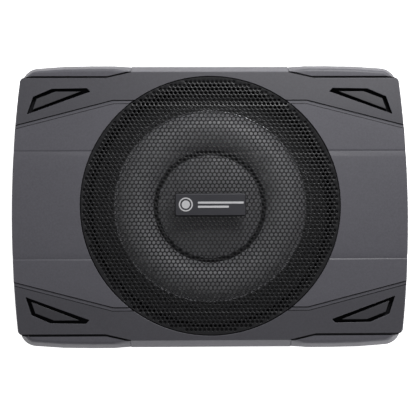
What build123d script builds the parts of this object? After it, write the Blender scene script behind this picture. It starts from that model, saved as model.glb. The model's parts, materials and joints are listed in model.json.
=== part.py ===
"""A powered car subwoofer for under a seat: a flat ribbed case, an 8 inch shallow driver and its amplifier.

Millimetres. The origin is on the floor under the centre of the case, +Z up, +X towards the control end.
"""

from build123d import *
import os

os.makedirs("parts", exist_ok=True)

# ---------------------------------------------------------------- driving dimensions
END_HALF = 173.0            # half length of the cover, at the middle of its bowed ends
END_HALF_AT_PAD = 167.9     # half length where the bow meets the corner pads
PAD_CORNER_Y = 112.75       # straight front and rear edge of a corner pad
PAD_CORNER_R = 4.5
PAD_TUCK = 1.1              # the bow ends this far inside the pad's rounded corner
KINK_X = 90.0               # where the pad's edge turns outwards
MIDDLE_X = 69.5             # half length of the middle stretch that runs out to the edge
MIDDLE_TOP_Y = 117.5        # edge of the top face along that stretch
MIDDLE_HALF = 123.8         # half depth of the cover, at the foot of its bevel
SHOULDER_HALF = 124.5       # half depth of the lower housing, at its shoulders
SHOULDER_CORNER_R = 15.0
SHOULDER_CORNER = (1.0, 3.0)  # how far the plan's corner stands inside the end and the long edge
SHOULDER_BEVEL = (4.3, 8.0)  # in over the top and down the wall
SEAM = 0.9                  # shadow gap between the cover and the shoulders
END_INSET = 1.8             # the lower housing's ends stand this far inside the cover's

FOOT_HEIGHT = 3.0
BASE_THICK = 2.5
WALL = 3.0
SKIN = 3.2                  # thickness of the cover's top
JOINT_Z = 60.0              # underside of the cover's rim
GASKET_THICK = 1.0
CROWN_Z = 73.4              # top of the cover along its centre line
SHOULDER_Z = 70.0
CASE_DRAFT = 3.2            # degrees, the housing narrows towards the floor
END_CHAMFER = 0.8
THROUGH = 20.0              # longer than any wall that a cut goes through
SPAN = 200.0                # longer than half the case

GRILLE_R = 113.0
GRILLE_OPENING_R = 113.9
GRILLE_THICK = 1.0
GRILLE_DROP = 0.2           # the grille lies this far under the cover's skin

VALLEY_Y = 47.2             # soft crease across the case
VALLEY_DEPTH = 0.8
CHANNEL_Y = 90.7            # centre line of the shallow channel near each long edge
CHANNEL_WIDTH = 3.0
CHANNEL_DEPTH = 0.9
CHANNEL_KINK_X = 85.0
CHANNEL_END = (174.0, 67.6)
POCKET_DEPTH = 6.5
ISLAND_DROP = 0.6
POCKET = [(160.5, 79.8), (155.2, 95.4), (138.8, 102.5), (108.1, 103.0), (105.1, 99.9)]
ISLAND = [(155.5, 84.0), (152.1, 93.8), (135.7, 100.2), (113.5, 100.2)]

BADGE_SIZE = (60.9, 19.0, 1.8)

# driver
BAFFLE_Z = 53.3             # top of the ring that the driver stands on
BAFFLE_INNER_R = 88.0
BAFFLE_THICK = 3.0
WELL_R = 107.0
FLANGE_R = 104.0
FLANGE_Z = 56.3             # top of the driver's flange
ROLL_OUTER_R = 84.0
ROLL_INNER_R = 50.0
ROLL_HEIGHT = 9.5
CONE_R = 50.2
DOME_R = 45.6
DOME_HEIGHT = 7.2
FORMER_R = 25.3
COIL_R = 26.3
POLE_R = 24.5
GAP_R = 27.0
MAGNET_R = 49.0
PLATE_R = 44.0
MOTOR_Z = 7.0               # underside of the motor
BACK_PLATE_THICK = 5.0
MAGNET_THICK = 8.0
TOP_PLATE_THICK = 5.0
SPIDER_Z = 38.0
DRIVER_BOLT_R = 98.0
DRIVER_BOLTS = 8
RUBBER = 0.9                # thickness of the surround
SURROUND_FOOT = 6.0         # width of its glued outer edge
# half sections, as (r, z)
BASKET_SECTION = [
    (28, 25), (42, 25), (50.5, 35.4), (60.6, 35.4), (86.6, 54.3), (FLANGE_R, 54.3),
    (FLANGE_R, FLANGE_Z), (ROLL_OUTER_R, FLANGE_Z), (60, 37.4), (49, 37.4), (41, 27), (28, 27),
]
CONE_SECTION = [
    (FORMER_R, 42.6), (43.4, 55.3), (CONE_R, 55.3), (CONE_R, FLANGE_Z), (43.0, FLANGE_Z), (FORMER_R, 44.0),
]
DUST_CAP_THICK = 0.8
SPIDER_THICK = 0.6
SPIDER_WAVES = 6
SPIDER_WAVE_R = (29.0, 47.5)
VENT_R = 8.0

# control end
PANEL_FACE_X = 164.0
PANEL_THICK = 2.0
PANEL_HALF = 83.7
PANEL_Z = (12.3, 49.7)
FRAME_INNER_X = 158.5
OPENING_HALF = 80.0
OPENING_Z = (14.5, 46.0)
BOARD_Z = 11.5
BOARD_THICK = 1.6
CONTROL_BOARD_X = 149.4
KNOB_Z = 38.0
KNOB_R = 4.5
KNOB_YS = {"gain_knob": 46.0, "low_pass_knob": 60.0, "bass_knob": 74.0}
SHAFT_R = 3.0
SWITCH_Z = 20.5
SWITCH_YS = {"phase": 57.0, "auto_on": 72.0}
SWITCH_TRAVEL = 4.0

LEVER = 2.6                 # side of a slide switch's square lever
CONTROL_X = CONTROL_BOARD_X + 1.6
LED_Y = 35.5
LED_R = 1.5
RCA_YS = (10.0, 24.0)
RCA_Z = 25.0
RCA_R = 4.15
CLEARANCE = 0.3
NOSE_OUT = 0.6              # connectors stand this far out of the panel
# noses of the connectors, as place along the panel, width, lowest and highest point
NOSES = {
    "power_terminals": (-60.0, 37.0, 15.0, 30.5),
    "fuse_holder": (-29.0, 22.0, 17.0, 26.0),
    "high_level_socket": (-7.0, 15.0, 15.4, 25.5),
    "remote_port": (39.0, 11.6, 15.4, 26.0),
}
CONNECTOR_X = 151.2         # backs of the signal connectors
RCA_DEEP_X = 156.0
FUSE_YZ = (-29.0, 21.8)
WIRE_SIZE = 6.4             # square mouth of a wire clamp
WIRE_YS = (-71.0, -60.0, -49.0)
WIRE_Z = 19.6
TERMINAL_SCREW_Z = 26.6
FUSE_SIZE = (19.0, 5.0)
BOARD_X = (100.0, 158.0)
BOARD_HALF = 88.0
STANDOFF_XY = [(104.5, -84), (104.5, 84), (153.5, -84), (153.5, 84), (133, -34), (109, 0)]
TRANSISTOR_YS = (-62, -38, -14, 14, 38, 62)
CLAMP_SCREW_YS = (-50, -26, 0, 26, 50)
CLAMP_Z = 26.0
LEAD_R = 1.2
HEAT_SINK_SECTION = [(86, 5.5), (99, 5.5), (99, 33.5), (95, 33.5), (95, 9.5), (86, 9.5)]
CAPACITOR_XY = [(116, -74), (116, -54), (133, -74), (133, -54)]
TRANSFORMER_XY = (127, -14)
INDUCTOR_XY = [(122, 34), (122, 60)]
SOCKET_XY = (112, 10.5)

# fixings
LONG_SCREW_XY = [(150.0, 106.0), (72.0, 108.0)]
BASE_SCREW_XY = [(112.0, 111.5)]
BASE_SCREW_MIDDLE_Y = 113.0
BOSS_R = 4.5
FOOT_XY = (130.0, 84.0)
FOOT_R = 10.0
BRACKET_XY = (140.0, 60.0)
BRACKET_HOLE_R = 2.5
CLEAR_R = 2.2               # hole that a screw passes through
HEX_KEY_R = 1.4             # socket of the larger screws, across its corners
SMALL_KEY_R = 1.2

# heights that follow
BASE_TOP = FOOT_HEIGHT + BASE_THICK
HOUSING_TOP = JOINT_Z - GASKET_THICK
BOARD_TOP = BOARD_Z + BOARD_THICK
BACK_PLATE_TOP = MOTOR_Z + BACK_PLATE_THICK
MAGNET_TOP = BACK_PLATE_TOP + MAGNET_THICK
MOTOR_TOP = MAGNET_TOP + TOP_PLATE_THICK
FLANGE_THICK = 3.5
BASE_INSET = 3.5
SCREW_HEAD = 1.6
SCREW_HEAD_R = 3.4
SIGNS = (-1, 1)


def save(piece, name):
    """Labels a finished piece and writes it as one STEP file."""
    piece.part.label = name
    export_step(piece.part, f"parts/{name}.step")
    print(f"{name}: {len(piece.part.solids())} solid(s), {piece.part.volume / 1000:.2f} cm3")


def quadrants(points):
    """The same places in all four quarters of the case."""
    return [(sx * x, sy * y) for x, y in points for sx in SIGNS for sy in SIGNS]


# ---------------------------------------------------------------- profiles
def skin_profile(drop=0.0):
    """Height of the cover's top across the case, from the centre line to the edge, as (y, z)."""
    return [
        (0, CROWN_Z - drop),
        (12, CROWN_Z - drop),
        (28, CROWN_Z - 0.12 - drop),
        (42, CROWN_Z - 0.4 - drop),
        (VALLEY_Y, CROWN_Z - 0.4 - VALLEY_DEPTH - drop),
        (VALLEY_Y + 1.4, CROWN_Z - 0.5 - drop),
        (89.0, CROWN_Z - 1.1 - drop),
        (MIDDLE_TOP_Y, CROWN_Z - 2.4 - drop),
    ]


def above_skin(drop):
    """Face across the case, above the cover's skin when that is lowered by drop."""
    far = MIDDLE_HALF + 10
    with BuildSketch() as face:
        with BuildLine():
            Polyline(*skin_profile(drop), (far, CROWN_Z - 2.8 - drop), (far, CROWN_Z + 10), (0, CROWN_Z + 10))
            mirror(about=Plane.YZ)
        make_face()
    return face.sketch


def below_skin(drop, floor_z, bevel_inset=0.0):
    """Face across the case, under the lowered skin and inside the bevel along the long edges."""
    edge = MIDDLE_TOP_Y - 0.6 * bevel_inset
    foot = MIDDLE_HALF - bevel_inset
    top = [point for point in skin_profile(drop) if point[0] < edge - 1]
    edge_z = skin_profile(drop)[-1][1]
    with BuildSketch() as face:
        with BuildLine():
            Polyline(*top, (edge, edge_z), (foot, JOINT_Z + 2), (foot, floor_z), (0, floor_z))
            mirror(about=Plane.YZ)
        make_face()
    return face.sketch


def grille_section(drop):
    """The lowered skin across the grille, with the channels pressed into it, as (y, z)."""
    near, far = CHANNEL_Y - CHANNEL_WIDTH / 2, CHANNEL_Y + CHANNEL_WIDTH / 2
    section = [point for point in skin_profile(drop) if point[0] < near - 1.8]
    rise = skin_profile(drop)[-2][1]
    fall = (skin_profile(drop)[-1][1] - rise) / (MIDDLE_TOP_Y - near)
    heights = [(near - 0.4, 0), (near, -CHANNEL_DEPTH)]
    heights += [(far, -CHANNEL_DEPTH), (far + 0.4, 0), (GRILLE_R + 2, 0)]
    return section + [(y, rise + fall * (y - near) + step) for y, step in heights]


def case_outline(end_x, corner, edge, corner_r):
    """Plan with two bowed ends, from a corner and the edge points that follow it, rounded at the corners."""
    with BuildSketch() as plan:
        with BuildLine():
            for s in SIGNS:
                ThreePointArc((s * corner[0], -corner[1]), (s * end_x, 0), (s * corner[0], corner[1]))
                half = [(x, s * y) for x, y in [corner, *edge]]
                Polyline(*half, *[(-x, y) for x, y in reversed(half)])
        make_face()
        fillet(plan.vertices().filter_by(lambda v: abs(v.X) > 150), corner_r)
    return plan.sketch


def dome_radius(half_width, height):
    """Radius of the arc over a chord."""
    return (half_width ** 2 + height ** 2) / (2 * height)


def in_quadrants(outline):
    """The same straight-sided outline in all four quarters of the case."""
    with BuildSketch() as plan:
        for sx in SIGNS:
            for sy in SIGNS:
                with BuildLine():
                    Polyline(*[(sx * x, sy * y) for x, y in outline], close=True)
                make_face()
    return plan.sketch


def cut_to_skin(plan, drop):
    """Solid that stands on a plan, from a surface under the cover's skin by drop upwards."""
    with BuildPart() as block:
        with BuildSketch(Plane.XY.offset(JOINT_Z)):
            add(plan)
        extrude(amount=THROUGH)
        with BuildSketch(Plane.YZ):
            add(above_skin(drop))
        extrude(amount=SPAN, both=True, mode=Mode.INTERSECT)
    return block.part


COVER_PLAN = case_outline(
    END_HALF,
    (END_HALF_AT_PAD - PAD_TUCK, PAD_CORNER_Y),
    [(KINK_X, PAD_CORNER_Y), (MIDDLE_X, MIDDLE_TOP_Y), (MIDDLE_X, MIDDLE_HALF)],
    PAD_CORNER_R,
)
HOUSING_PLAN = case_outline(
    END_HALF - END_INSET,
    (END_HALF_AT_PAD - END_INSET - SHOULDER_CORNER[0], SHOULDER_HALF - SHOULDER_CORNER[1]),
    [(128, SHOULDER_HALF - 0.4), (104, SHOULDER_HALF), (84, SHOULDER_HALF), (MIDDLE_X, MIDDLE_HALF - 0.4)],
    SHOULDER_CORNER_R,
)
CHANNEL_PLAN = in_quadrants([
    (40, CHANNEL_Y + CHANNEL_WIDTH / 2),
    (CHANNEL_KINK_X + 0.4, CHANNEL_Y + CHANNEL_WIDTH / 2),
    (CHANNEL_END[0], CHANNEL_END[1] + CHANNEL_WIDTH / 2),
    (CHANNEL_END[0], CHANNEL_END[1] - CHANNEL_WIDTH / 2),
    (CHANNEL_KINK_X - 0.4, CHANNEL_Y - CHANNEL_WIDTH / 2),
    (40, CHANNEL_Y - CHANNEL_WIDTH / 2),
])
with BuildSketch() as opening_plan:
    Circle(GRILLE_OPENING_R)
# the grille's pressed channels need room in the ledge under its rim
with BuildSketch() as ledge_relief:
    with Locations((0, CHANNEL_Y), (0, -CHANNEL_Y)):
        Rectangle(150, CHANNEL_WIDTH + 1.2)
    Circle(GRILLE_OPENING_R, mode=Mode.INTERSECT)
with BuildSketch() as slot_plan:
    add(in_quadrants(POCKET))
    add(in_quadrants(ISLAND), mode=Mode.SUBTRACT)

with BuildSketch() as flange_hole:
    add(COVER_PLAN)
    offset(amount=-WALL - 1)
with BuildSketch() as gasket_hole:
    add(COVER_PLAN)
    offset(amount=-WALL + 0.3)
FLANGE_HOLE_PLAN = flange_hole.sketch
GASKET_HOLE_PLAN = gasket_hole.sketch
BASE_SCREW_PLACES = quadrants(BASE_SCREW_XY) + [(0, BASE_SCREW_MIDDLE_Y), (0, -BASE_SCREW_MIDDLE_Y)]
PANEL_SCREW_YZ = [(-72, 47.85), (0, 47.85), (72, 47.85), (-81.85, 20), (81.85, 20)]

# ---------------------------------------------------------------- top cover
with BuildPart() as cover_hollow:
    with BuildSketch(Plane.XY.offset(JOINT_Z - 1)):
        add(COVER_PLAN)
        offset(amount=-WALL)
    extrude(amount=THROUGH)
    with BuildSketch(Plane.YZ):
        add(below_skin(SKIN, JOINT_Z - 2, bevel_inset=WALL))
    extrude(amount=SPAN, both=True, mode=Mode.INTERSECT)
    # the pockets' backs stay solid
    with BuildSketch(Plane.XY.offset(CROWN_Z - POCKET_DEPTH - 4.5)):
        add(in_quadrants(POCKET))
        offset(amount=2.0)
    extrude(amount=THROUGH, mode=Mode.SUBTRACT)

with BuildPart() as top_cover:
    with BuildSketch(Plane.XY.offset(JOINT_Z)):
        add(COVER_PLAN)
    extrude(amount=THROUGH)
    with BuildSketch(Plane.YZ):
        add(below_skin(0.0, JOINT_Z))
    extrude(amount=SPAN, both=True, mode=Mode.INTERSECT)
    end_rims = top_cover.edges().filter_by(lambda e: abs(e.center().X) > 155 and e.center().Z > JOINT_Z + 6)
    chamfer(end_rims, END_CHAMFER)
    add(cover_hollow.part, mode=Mode.SUBTRACT)
    # driver well: a wall under the grille's ledge and the ring that the driver stands on
    with BuildSketch(Plane.XY.offset(BAFFLE_Z - BAFFLE_THICK)):
        Circle(WELL_R + WALL)
        Circle(BAFFLE_INNER_R, mode=Mode.SUBTRACT)
    extrude(amount=BAFFLE_THICK)
    with BuildSketch(Plane.XY.offset(BAFFLE_Z)):
        Circle(WELL_R + WALL)
        Circle(WELL_R, mode=Mode.SUBTRACT)
    extrude(amount=CROWN_Z - 4.0 - BAFFLE_Z)
    # fixing bosses
    with BuildSketch(Plane.XY.offset(JOINT_Z)):
        with Locations(*quadrants(LONG_SCREW_XY)):
            Circle(BOSS_R)
    extrude(amount=9.0)
    with BuildSketch(Plane.XY.offset(BAFFLE_Z)):
        Circle(WELL_R)
    extrude(amount=THROUGH + 10, mode=Mode.SUBTRACT)
    add(cut_to_skin(opening_plan.sketch, GRILLE_DROP + GRILLE_THICK), mode=Mode.SUBTRACT)
    relief_drop = GRILLE_DROP + GRILLE_THICK + CHANNEL_DEPTH + 0.05
    add(cut_to_skin(ledge_relief.sketch, relief_drop), mode=Mode.SUBTRACT)
    add(cut_to_skin(CHANNEL_PLAN, CHANNEL_DEPTH), mode=Mode.SUBTRACT)
    add(cut_to_skin(slot_plan.sketch, POCKET_DEPTH), mode=Mode.SUBTRACT)
    add(cut_to_skin(in_quadrants(ISLAND), ISLAND_DROP), mode=Mode.SUBTRACT)
    with BuildSketch(Plane.XY.offset(JOINT_Z)):
        with Locations(*quadrants(LONG_SCREW_XY)):
            Circle(1.7)
    extrude(amount=6.5, mode=Mode.SUBTRACT)
    with BuildSketch(Plane.XY.offset(BAFFLE_Z - BAFFLE_THICK)):
        with PolarLocations(DRIVER_BOLT_R, DRIVER_BOLTS, start_angle=180 / DRIVER_BOLTS):
            Circle(1.6)
    extrude(amount=BAFFLE_THICK, mode=Mode.SUBTRACT)
save(top_cover, "top_cover")

# ---------------------------------------------------------------- grille and badge
with BuildPart() as grille:
    with BuildSketch(Plane.YZ):
        with BuildLine():
            top = grille_section(GRILLE_DROP)
            foot = grille_section(GRILLE_DROP + GRILLE_THICK)
            Polyline(*top, *reversed(foot))
            mirror(about=Plane.YZ)
        make_face()
    extrude(amount=GRILLE_R + 2, both=True)
    with BuildSketch(Plane.XY.offset(JOINT_Z)):
        Circle(GRILLE_R)
    extrude(amount=THROUGH, mode=Mode.INTERSECT)
save(grille, "grille")

with BuildPart() as badge:
    with BuildSketch(Plane.XY.offset(CROWN_Z - GRILLE_DROP)):
        RectangleRounded(BADGE_SIZE[0], BADGE_SIZE[1], 1.0)
    extrude(amount=BADGE_SIZE[2])
    chamfer(badge.faces().sort_by(Axis.Z)[-1].edges(), 0.4)
save(badge, "badge")

# ---------------------------------------------------------------- lower housing
# solid block of the housing, drafted towards the floor, with its shoulders on top
with BuildPart() as housing_block:
    with BuildSketch(Plane.XY.offset(HOUSING_TOP)):
        add(HOUSING_PLAN)
    extrude(amount=BASE_TOP - HOUSING_TOP, taper=CASE_DRAFT)
with BuildPart() as shoulders:
    with BuildSketch(Plane.XY.offset(HOUSING_TOP)):
        add(HOUSING_PLAN)
    extrude(amount=SHOULDER_Z - HOUSING_TOP)
    shoulder_top = shoulders.faces().sort_by(Axis.Z)[-1]
    chamfer(shoulder_top.edges(), *SHOULDER_BEVEL, reference=shoulder_top)
    with BuildSketch(Plane.XY.offset(HOUSING_TOP)):
        add(COVER_PLAN)
        offset(amount=SEAM)
    extrude(amount=THROUGH, mode=Mode.SUBTRACT)
    with BuildSketch(Plane.XY.offset(HOUSING_TOP)):
        Rectangle(2 * END_HALF + 20, 2 * PAD_CORNER_Y - 12)
        Rectangle(2 * MIDDLE_X + 3.0, 2 * END_HALF)
    extrude(amount=THROUGH, mode=Mode.SUBTRACT)
# upright bosses for the screws, each tied to the wall by a web
with BuildPart() as bosses:
    with BuildSketch(Plane.XY.offset(BASE_TOP)):
        for x, y in quadrants(LONG_SCREW_XY):
            with Locations((x, y)):
                Circle(BOSS_R)
            with Locations((x, y + (8 if y > 0 else -8))):
                Rectangle(WALL, 16)
    extrude(amount=HOUSING_TOP - BASE_TOP)
    with BuildSketch(Plane.XY.offset(BASE_TOP)):
        for x, y in BASE_SCREW_PLACES:
            with Locations((x, y)):
                Circle(BOSS_R)
            with Locations((x, y + (6 if y > 0 else -6))):
                Rectangle(WALL, 12)
    extrude(amount=12)
    add(housing_block.part, mode=Mode.INTERSECT)

# frame that stands behind the control panel
with BuildPart() as panel_frame:
    with BuildSketch(Plane.YZ.offset(FRAME_INNER_X)):
        with Locations((0, (PANEL_Z[0] + PANEL_Z[1]) / 2)):
            Rectangle(2 * PANEL_HALF + 8, PANEL_Z[1] - PANEL_Z[0] + 8)
    extrude(amount=THROUGH)
    add(housing_block.part, mode=Mode.INTERSECT)

with BuildPart() as lower_housing:
    add(housing_block.part)
    with BuildSketch(Plane.XY.offset(HOUSING_TOP)):
        add(HOUSING_PLAN)
        offset(amount=-WALL)
    extrude(amount=BASE_TOP - HOUSING_TOP, taper=CASE_DRAFT, mode=Mode.SUBTRACT)
    add(shoulders.part)
    add(bosses.part)
    add(panel_frame.part)
    # inward flange under the cover's rim
    with BuildSketch(Plane.XY.offset(HOUSING_TOP - FLANGE_THICK)):
        add(HOUSING_PLAN)
        offset(amount=-0.5)
        add(FLANGE_HOLE_PLAN, mode=Mode.SUBTRACT)
    extrude(amount=FLANGE_THICK)
    # recess and opening for the control panel
    with BuildSketch(Plane.YZ.offset(PANEL_FACE_X - PANEL_THICK)):
        with Locations((0, (PANEL_Z[0] + PANEL_Z[1]) / 2)):
            Rectangle(2 * PANEL_HALF + 0.6, PANEL_Z[1] - PANEL_Z[0] + 0.6)
    extrude(amount=THROUGH + 10, mode=Mode.SUBTRACT)
    with BuildSketch(Plane.YZ.offset(FRAME_INNER_X - 2)):
        with Locations((0, (OPENING_Z[0] + OPENING_Z[1]) / 2)):
            Rectangle(2 * OPENING_HALF, OPENING_Z[1] - OPENING_Z[0])
    extrude(amount=THROUGH + 10, mode=Mode.SUBTRACT)
    with BuildSketch(Plane.YZ.offset(FRAME_INNER_X)):
        with Locations(*PANEL_SCREW_YZ):
            Circle(1.1)
    extrude(amount=10, mode=Mode.SUBTRACT)
    with BuildSketch(Plane.XY.offset(BASE_TOP)):
        with Locations(*quadrants(LONG_SCREW_XY)):
            Circle(CLEAR_R)
    extrude(amount=HOUSING_TOP - BASE_TOP, mode=Mode.SUBTRACT)
    with BuildSketch(Plane.XY.offset(BASE_TOP)):
        with Locations(*BASE_SCREW_PLACES):
            Circle(1.6)
    extrude(amount=10, mode=Mode.SUBTRACT)
save(lower_housing, "lower_housing")

with BuildPart() as cover_gasket:
    with BuildSketch(Plane.XY.offset(HOUSING_TOP)):
        add(COVER_PLAN)
        offset(amount=-0.5)
        add(GASKET_HOLE_PLAN, mode=Mode.SUBTRACT)
    extrude(amount=GASKET_THICK)
save(cover_gasket, "cover_gasket")

with BuildPart() as base_plate:
    with BuildSketch(Plane.XY.offset(FOOT_HEIGHT)):
        add(HOUSING_PLAN)
        offset(amount=-BASE_INSET)
    extrude(amount=BASE_THICK)
    chamfer(base_plate.faces().sort_by(Axis.Z)[0].edges(), 0.6)
    with BuildSketch(Plane.XY.offset(FOOT_HEIGHT)):
        with Locations(*quadrants(LONG_SCREW_XY), *BASE_SCREW_PLACES):
            Circle(CLEAR_R)
        with Locations(*quadrants([BRACKET_XY])):
            Circle(BRACKET_HOLE_R)
    extrude(amount=BASE_THICK, mode=Mode.SUBTRACT)
save(base_plate, "base_plate")

with BuildPart() as bracket_nuts:
    with BuildSketch(Plane.XY.offset(BASE_TOP)):
        with Locations(*quadrants([BRACKET_XY])):
            RegularPolygon(4.6, 6)
            Circle(BRACKET_HOLE_R, mode=Mode.SUBTRACT)
    extrude(amount=4.0)
save(bracket_nuts, "bracket_nuts")

with BuildPart() as rubber_feet:
    with BuildSketch():
        with Locations(*quadrants([FOOT_XY])):
            Circle(FOOT_R)
    extrude(amount=FOOT_HEIGHT)
    chamfer(rubber_feet.edges().filter_by(GeomType.CIRCLE).group_by(Axis.Z)[0], 0.6)
save(rubber_feet, "rubber_feet")

with BuildPart() as case_screws:
    with BuildSketch(Plane.XY.offset(FOOT_HEIGHT)):
        with Locations(*quadrants(LONG_SCREW_XY)):
            Circle(1.65)
    extrude(amount=JOINT_Z + 5.5 - FOOT_HEIGHT)
    with BuildSketch(Plane.XY.offset(FOOT_HEIGHT)):
        with Locations(*quadrants(LONG_SCREW_XY)):
            Circle(SCREW_HEAD_R)
    extrude(amount=-SCREW_HEAD)
    with BuildSketch(Plane.XY.offset(FOOT_HEIGHT - SCREW_HEAD)):
        with Locations(*quadrants(LONG_SCREW_XY)):
            RegularPolygon(HEX_KEY_R, 6)
    extrude(amount=1.0, mode=Mode.SUBTRACT)
save(case_screws, "case_screws")

with BuildPart() as base_screws:
    with BuildSketch(Plane.XY.offset(FOOT_HEIGHT)):
        with Locations(*BASE_SCREW_PLACES):
            Circle(1.55)
    extrude(amount=9.0)
    with BuildSketch(Plane.XY.offset(FOOT_HEIGHT)):
        with Locations(*BASE_SCREW_PLACES):
            Circle(SCREW_HEAD_R)
    extrude(amount=-SCREW_HEAD)
    with BuildSketch(Plane.XY.offset(FOOT_HEIGHT - SCREW_HEAD)):
        with Locations(*BASE_SCREW_PLACES):
            RegularPolygon(HEX_KEY_R, 6)
    extrude(amount=1.0, mode=Mode.SUBTRACT)
save(base_screws, "base_screws")

# ---------------------------------------------------------------- driver: frame and motor
with BuildPart() as driver_gasket:
    with BuildSketch(Plane.XY.offset(BAFFLE_Z)):
        Circle(FLANGE_R - 1)
        Circle(BAFFLE_INNER_R + 1, mode=Mode.SUBTRACT)
        with PolarLocations(DRIVER_BOLT_R, DRIVER_BOLTS, start_angle=180 / DRIVER_BOLTS):
            Circle(2.0, mode=Mode.SUBTRACT)
    extrude(amount=1.0)
save(driver_gasket, "driver_gasket")

with BuildPart() as basket:
    with BuildSketch(Plane.XZ):
        with BuildLine():
            Polyline(*BASKET_SECTION, close=True)
        make_face()
    revolve(axis=Axis.Z)
    # six windows between the arms
    with BuildSketch(Plane.XY.offset(37.4)):
        with PolarLocations(71, 6):
            Trapezoid(30, 17, 65, rotation=90)
    extrude(amount=15.0, mode=Mode.SUBTRACT)
    with BuildSketch(Plane.XY.offset(BAFFLE_Z)):
        with PolarLocations(DRIVER_BOLT_R, DRIVER_BOLTS, start_angle=180 / DRIVER_BOLTS):
            Circle(CLEAR_R)
    extrude(amount=5, mode=Mode.SUBTRACT)
save(basket, "basket")

with BuildPart() as driver_screws:
    with BuildSketch(Plane.XY.offset(BAFFLE_Z - BAFFLE_THICK)):
        with PolarLocations(DRIVER_BOLT_R, DRIVER_BOLTS, start_angle=180 / DRIVER_BOLTS):
            Circle(1.55)
    extrude(amount=FLANGE_Z - BAFFLE_Z + BAFFLE_THICK)
    with BuildSketch(Plane.XY.offset(FLANGE_Z)):
        with PolarLocations(DRIVER_BOLT_R, DRIVER_BOLTS, start_angle=180 / DRIVER_BOLTS):
            Circle(SCREW_HEAD_R)
            RegularPolygon(HEX_KEY_R, 6, mode=Mode.SUBTRACT)
    extrude(amount=2.0)
save(driver_screws, "driver_screws")

with BuildPart() as yoke:
    with BuildSketch(Plane.XY.offset(MOTOR_Z)):
        Circle(PLATE_R)
    extrude(amount=BACK_PLATE_THICK)
    chamfer(yoke.faces().sort_by(Axis.Z)[0].edges(), 1.5)
    with BuildSketch(Plane.XY.offset(BACK_PLATE_TOP)):
        Circle(POLE_R)
    extrude(amount=MOTOR_TOP - BACK_PLATE_TOP)
    with BuildSketch(Plane.XY.offset(MOTOR_Z)):
        Circle(VENT_R)
    extrude(amount=40, mode=Mode.SUBTRACT)
save(yoke, "yoke")

with BuildPart() as magnet:
    with BuildSketch(Plane.XY.offset(BACK_PLATE_TOP)):
        Circle(MAGNET_R)
        Circle(30.0, mode=Mode.SUBTRACT)
    extrude(amount=MAGNET_THICK)
save(magnet, "magnet")

with BuildPart() as front_plate:
    with BuildSketch(Plane.XY.offset(MAGNET_TOP)):
        Circle(PLATE_R)
        Circle(GAP_R, mode=Mode.SUBTRACT)
    extrude(amount=TOP_PLATE_THICK)
save(front_plate, "front_plate")

# ---------------------------------------------------------------- driver: what moves and flexes
with BuildPart() as cone:
    with BuildSketch(Plane.XZ):
        with BuildLine():
            Polyline(*CONE_SECTION, close=True)
        make_face()
    revolve(axis=Axis.Z)
save(cone, "cone")

inner_r = DOME_R - 2.4
with BuildPart() as dust_cap:
    with BuildSketch(Plane.XZ):
        with BuildLine():
            crown = (0, FLANGE_Z + DOME_HEIGHT)
            outer = RadiusArc(crown, (DOME_R, FLANGE_Z), dome_radius(DOME_R, DOME_HEIGHT))
            Line((DOME_R, FLANGE_Z), (inner_r, FLANGE_Z))
            under = DOME_HEIGHT - DUST_CAP_THICK
            inner = RadiusArc((inner_r, FLANGE_Z), (0, FLANGE_Z + under), -dome_radius(inner_r, under))
            Line(inner @ 1, outer @ 0)
        make_face()
    revolve(axis=Axis.Z)
save(dust_cap, "dust_cap")

with BuildPart() as coil_former:
    with BuildSketch(Plane.XY.offset(MOTOR_TOP - 6.7)):
        Circle(FORMER_R)
        Circle(FORMER_R - 0.3, mode=Mode.SUBTRACT)
    extrude(amount=27.5)
save(coil_former, "coil_former")

with BuildPart() as voice_coil:
    with BuildSketch(Plane.XY.offset(MOTOR_TOP - 6.5)):
        Circle(COIL_R)
        Circle(FORMER_R, mode=Mode.SUBTRACT)
    extrude(amount=8.0)
save(voice_coil, "voice_coil")

roll_middle = (ROLL_OUTER_R + ROLL_INNER_R) / 2
foot_top = FLANGE_Z + RUBBER
glue_r = DOME_R + 0.6
under_outer_r = ROLL_OUTER_R - 0.6
under_inner_r = ROLL_INNER_R + 0.6
edge_r = ROLL_OUTER_R + SURROUND_FOOT
roll_top = FLANGE_Z + ROLL_HEIGHT
with BuildPart() as surround:
    with BuildSketch(Plane.XZ):
        with BuildLine():
            Line((edge_r, FLANGE_Z), (under_outer_r, FLANGE_Z))
            under_top = (roll_middle, roll_top - RUBBER)
            ThreePointArc((under_outer_r, FLANGE_Z), under_top, (under_inner_r, FLANGE_Z))
            glued = [(glue_r, FLANGE_Z), (glue_r, foot_top)]
            Polyline((under_inner_r, FLANGE_Z), *glued, (ROLL_INNER_R, foot_top))
            ThreePointArc((ROLL_INNER_R, foot_top), (roll_middle, roll_top), (ROLL_OUTER_R, foot_top))
            Polyline((ROLL_OUTER_R, foot_top), (edge_r, foot_top), (edge_r, FLANGE_Z))
        make_face()
    revolve(axis=Axis.Z)
save(surround, "surround")

with BuildPart() as trim_ring:
    with BuildSketch(Plane.XY.offset(foot_top)):
        Circle(edge_r - 0.5)
        Circle(ROLL_OUTER_R + 0.3, mode=Mode.SUBTRACT)
    extrude(amount=1.2)
save(trim_ring, "trim_ring")

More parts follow.
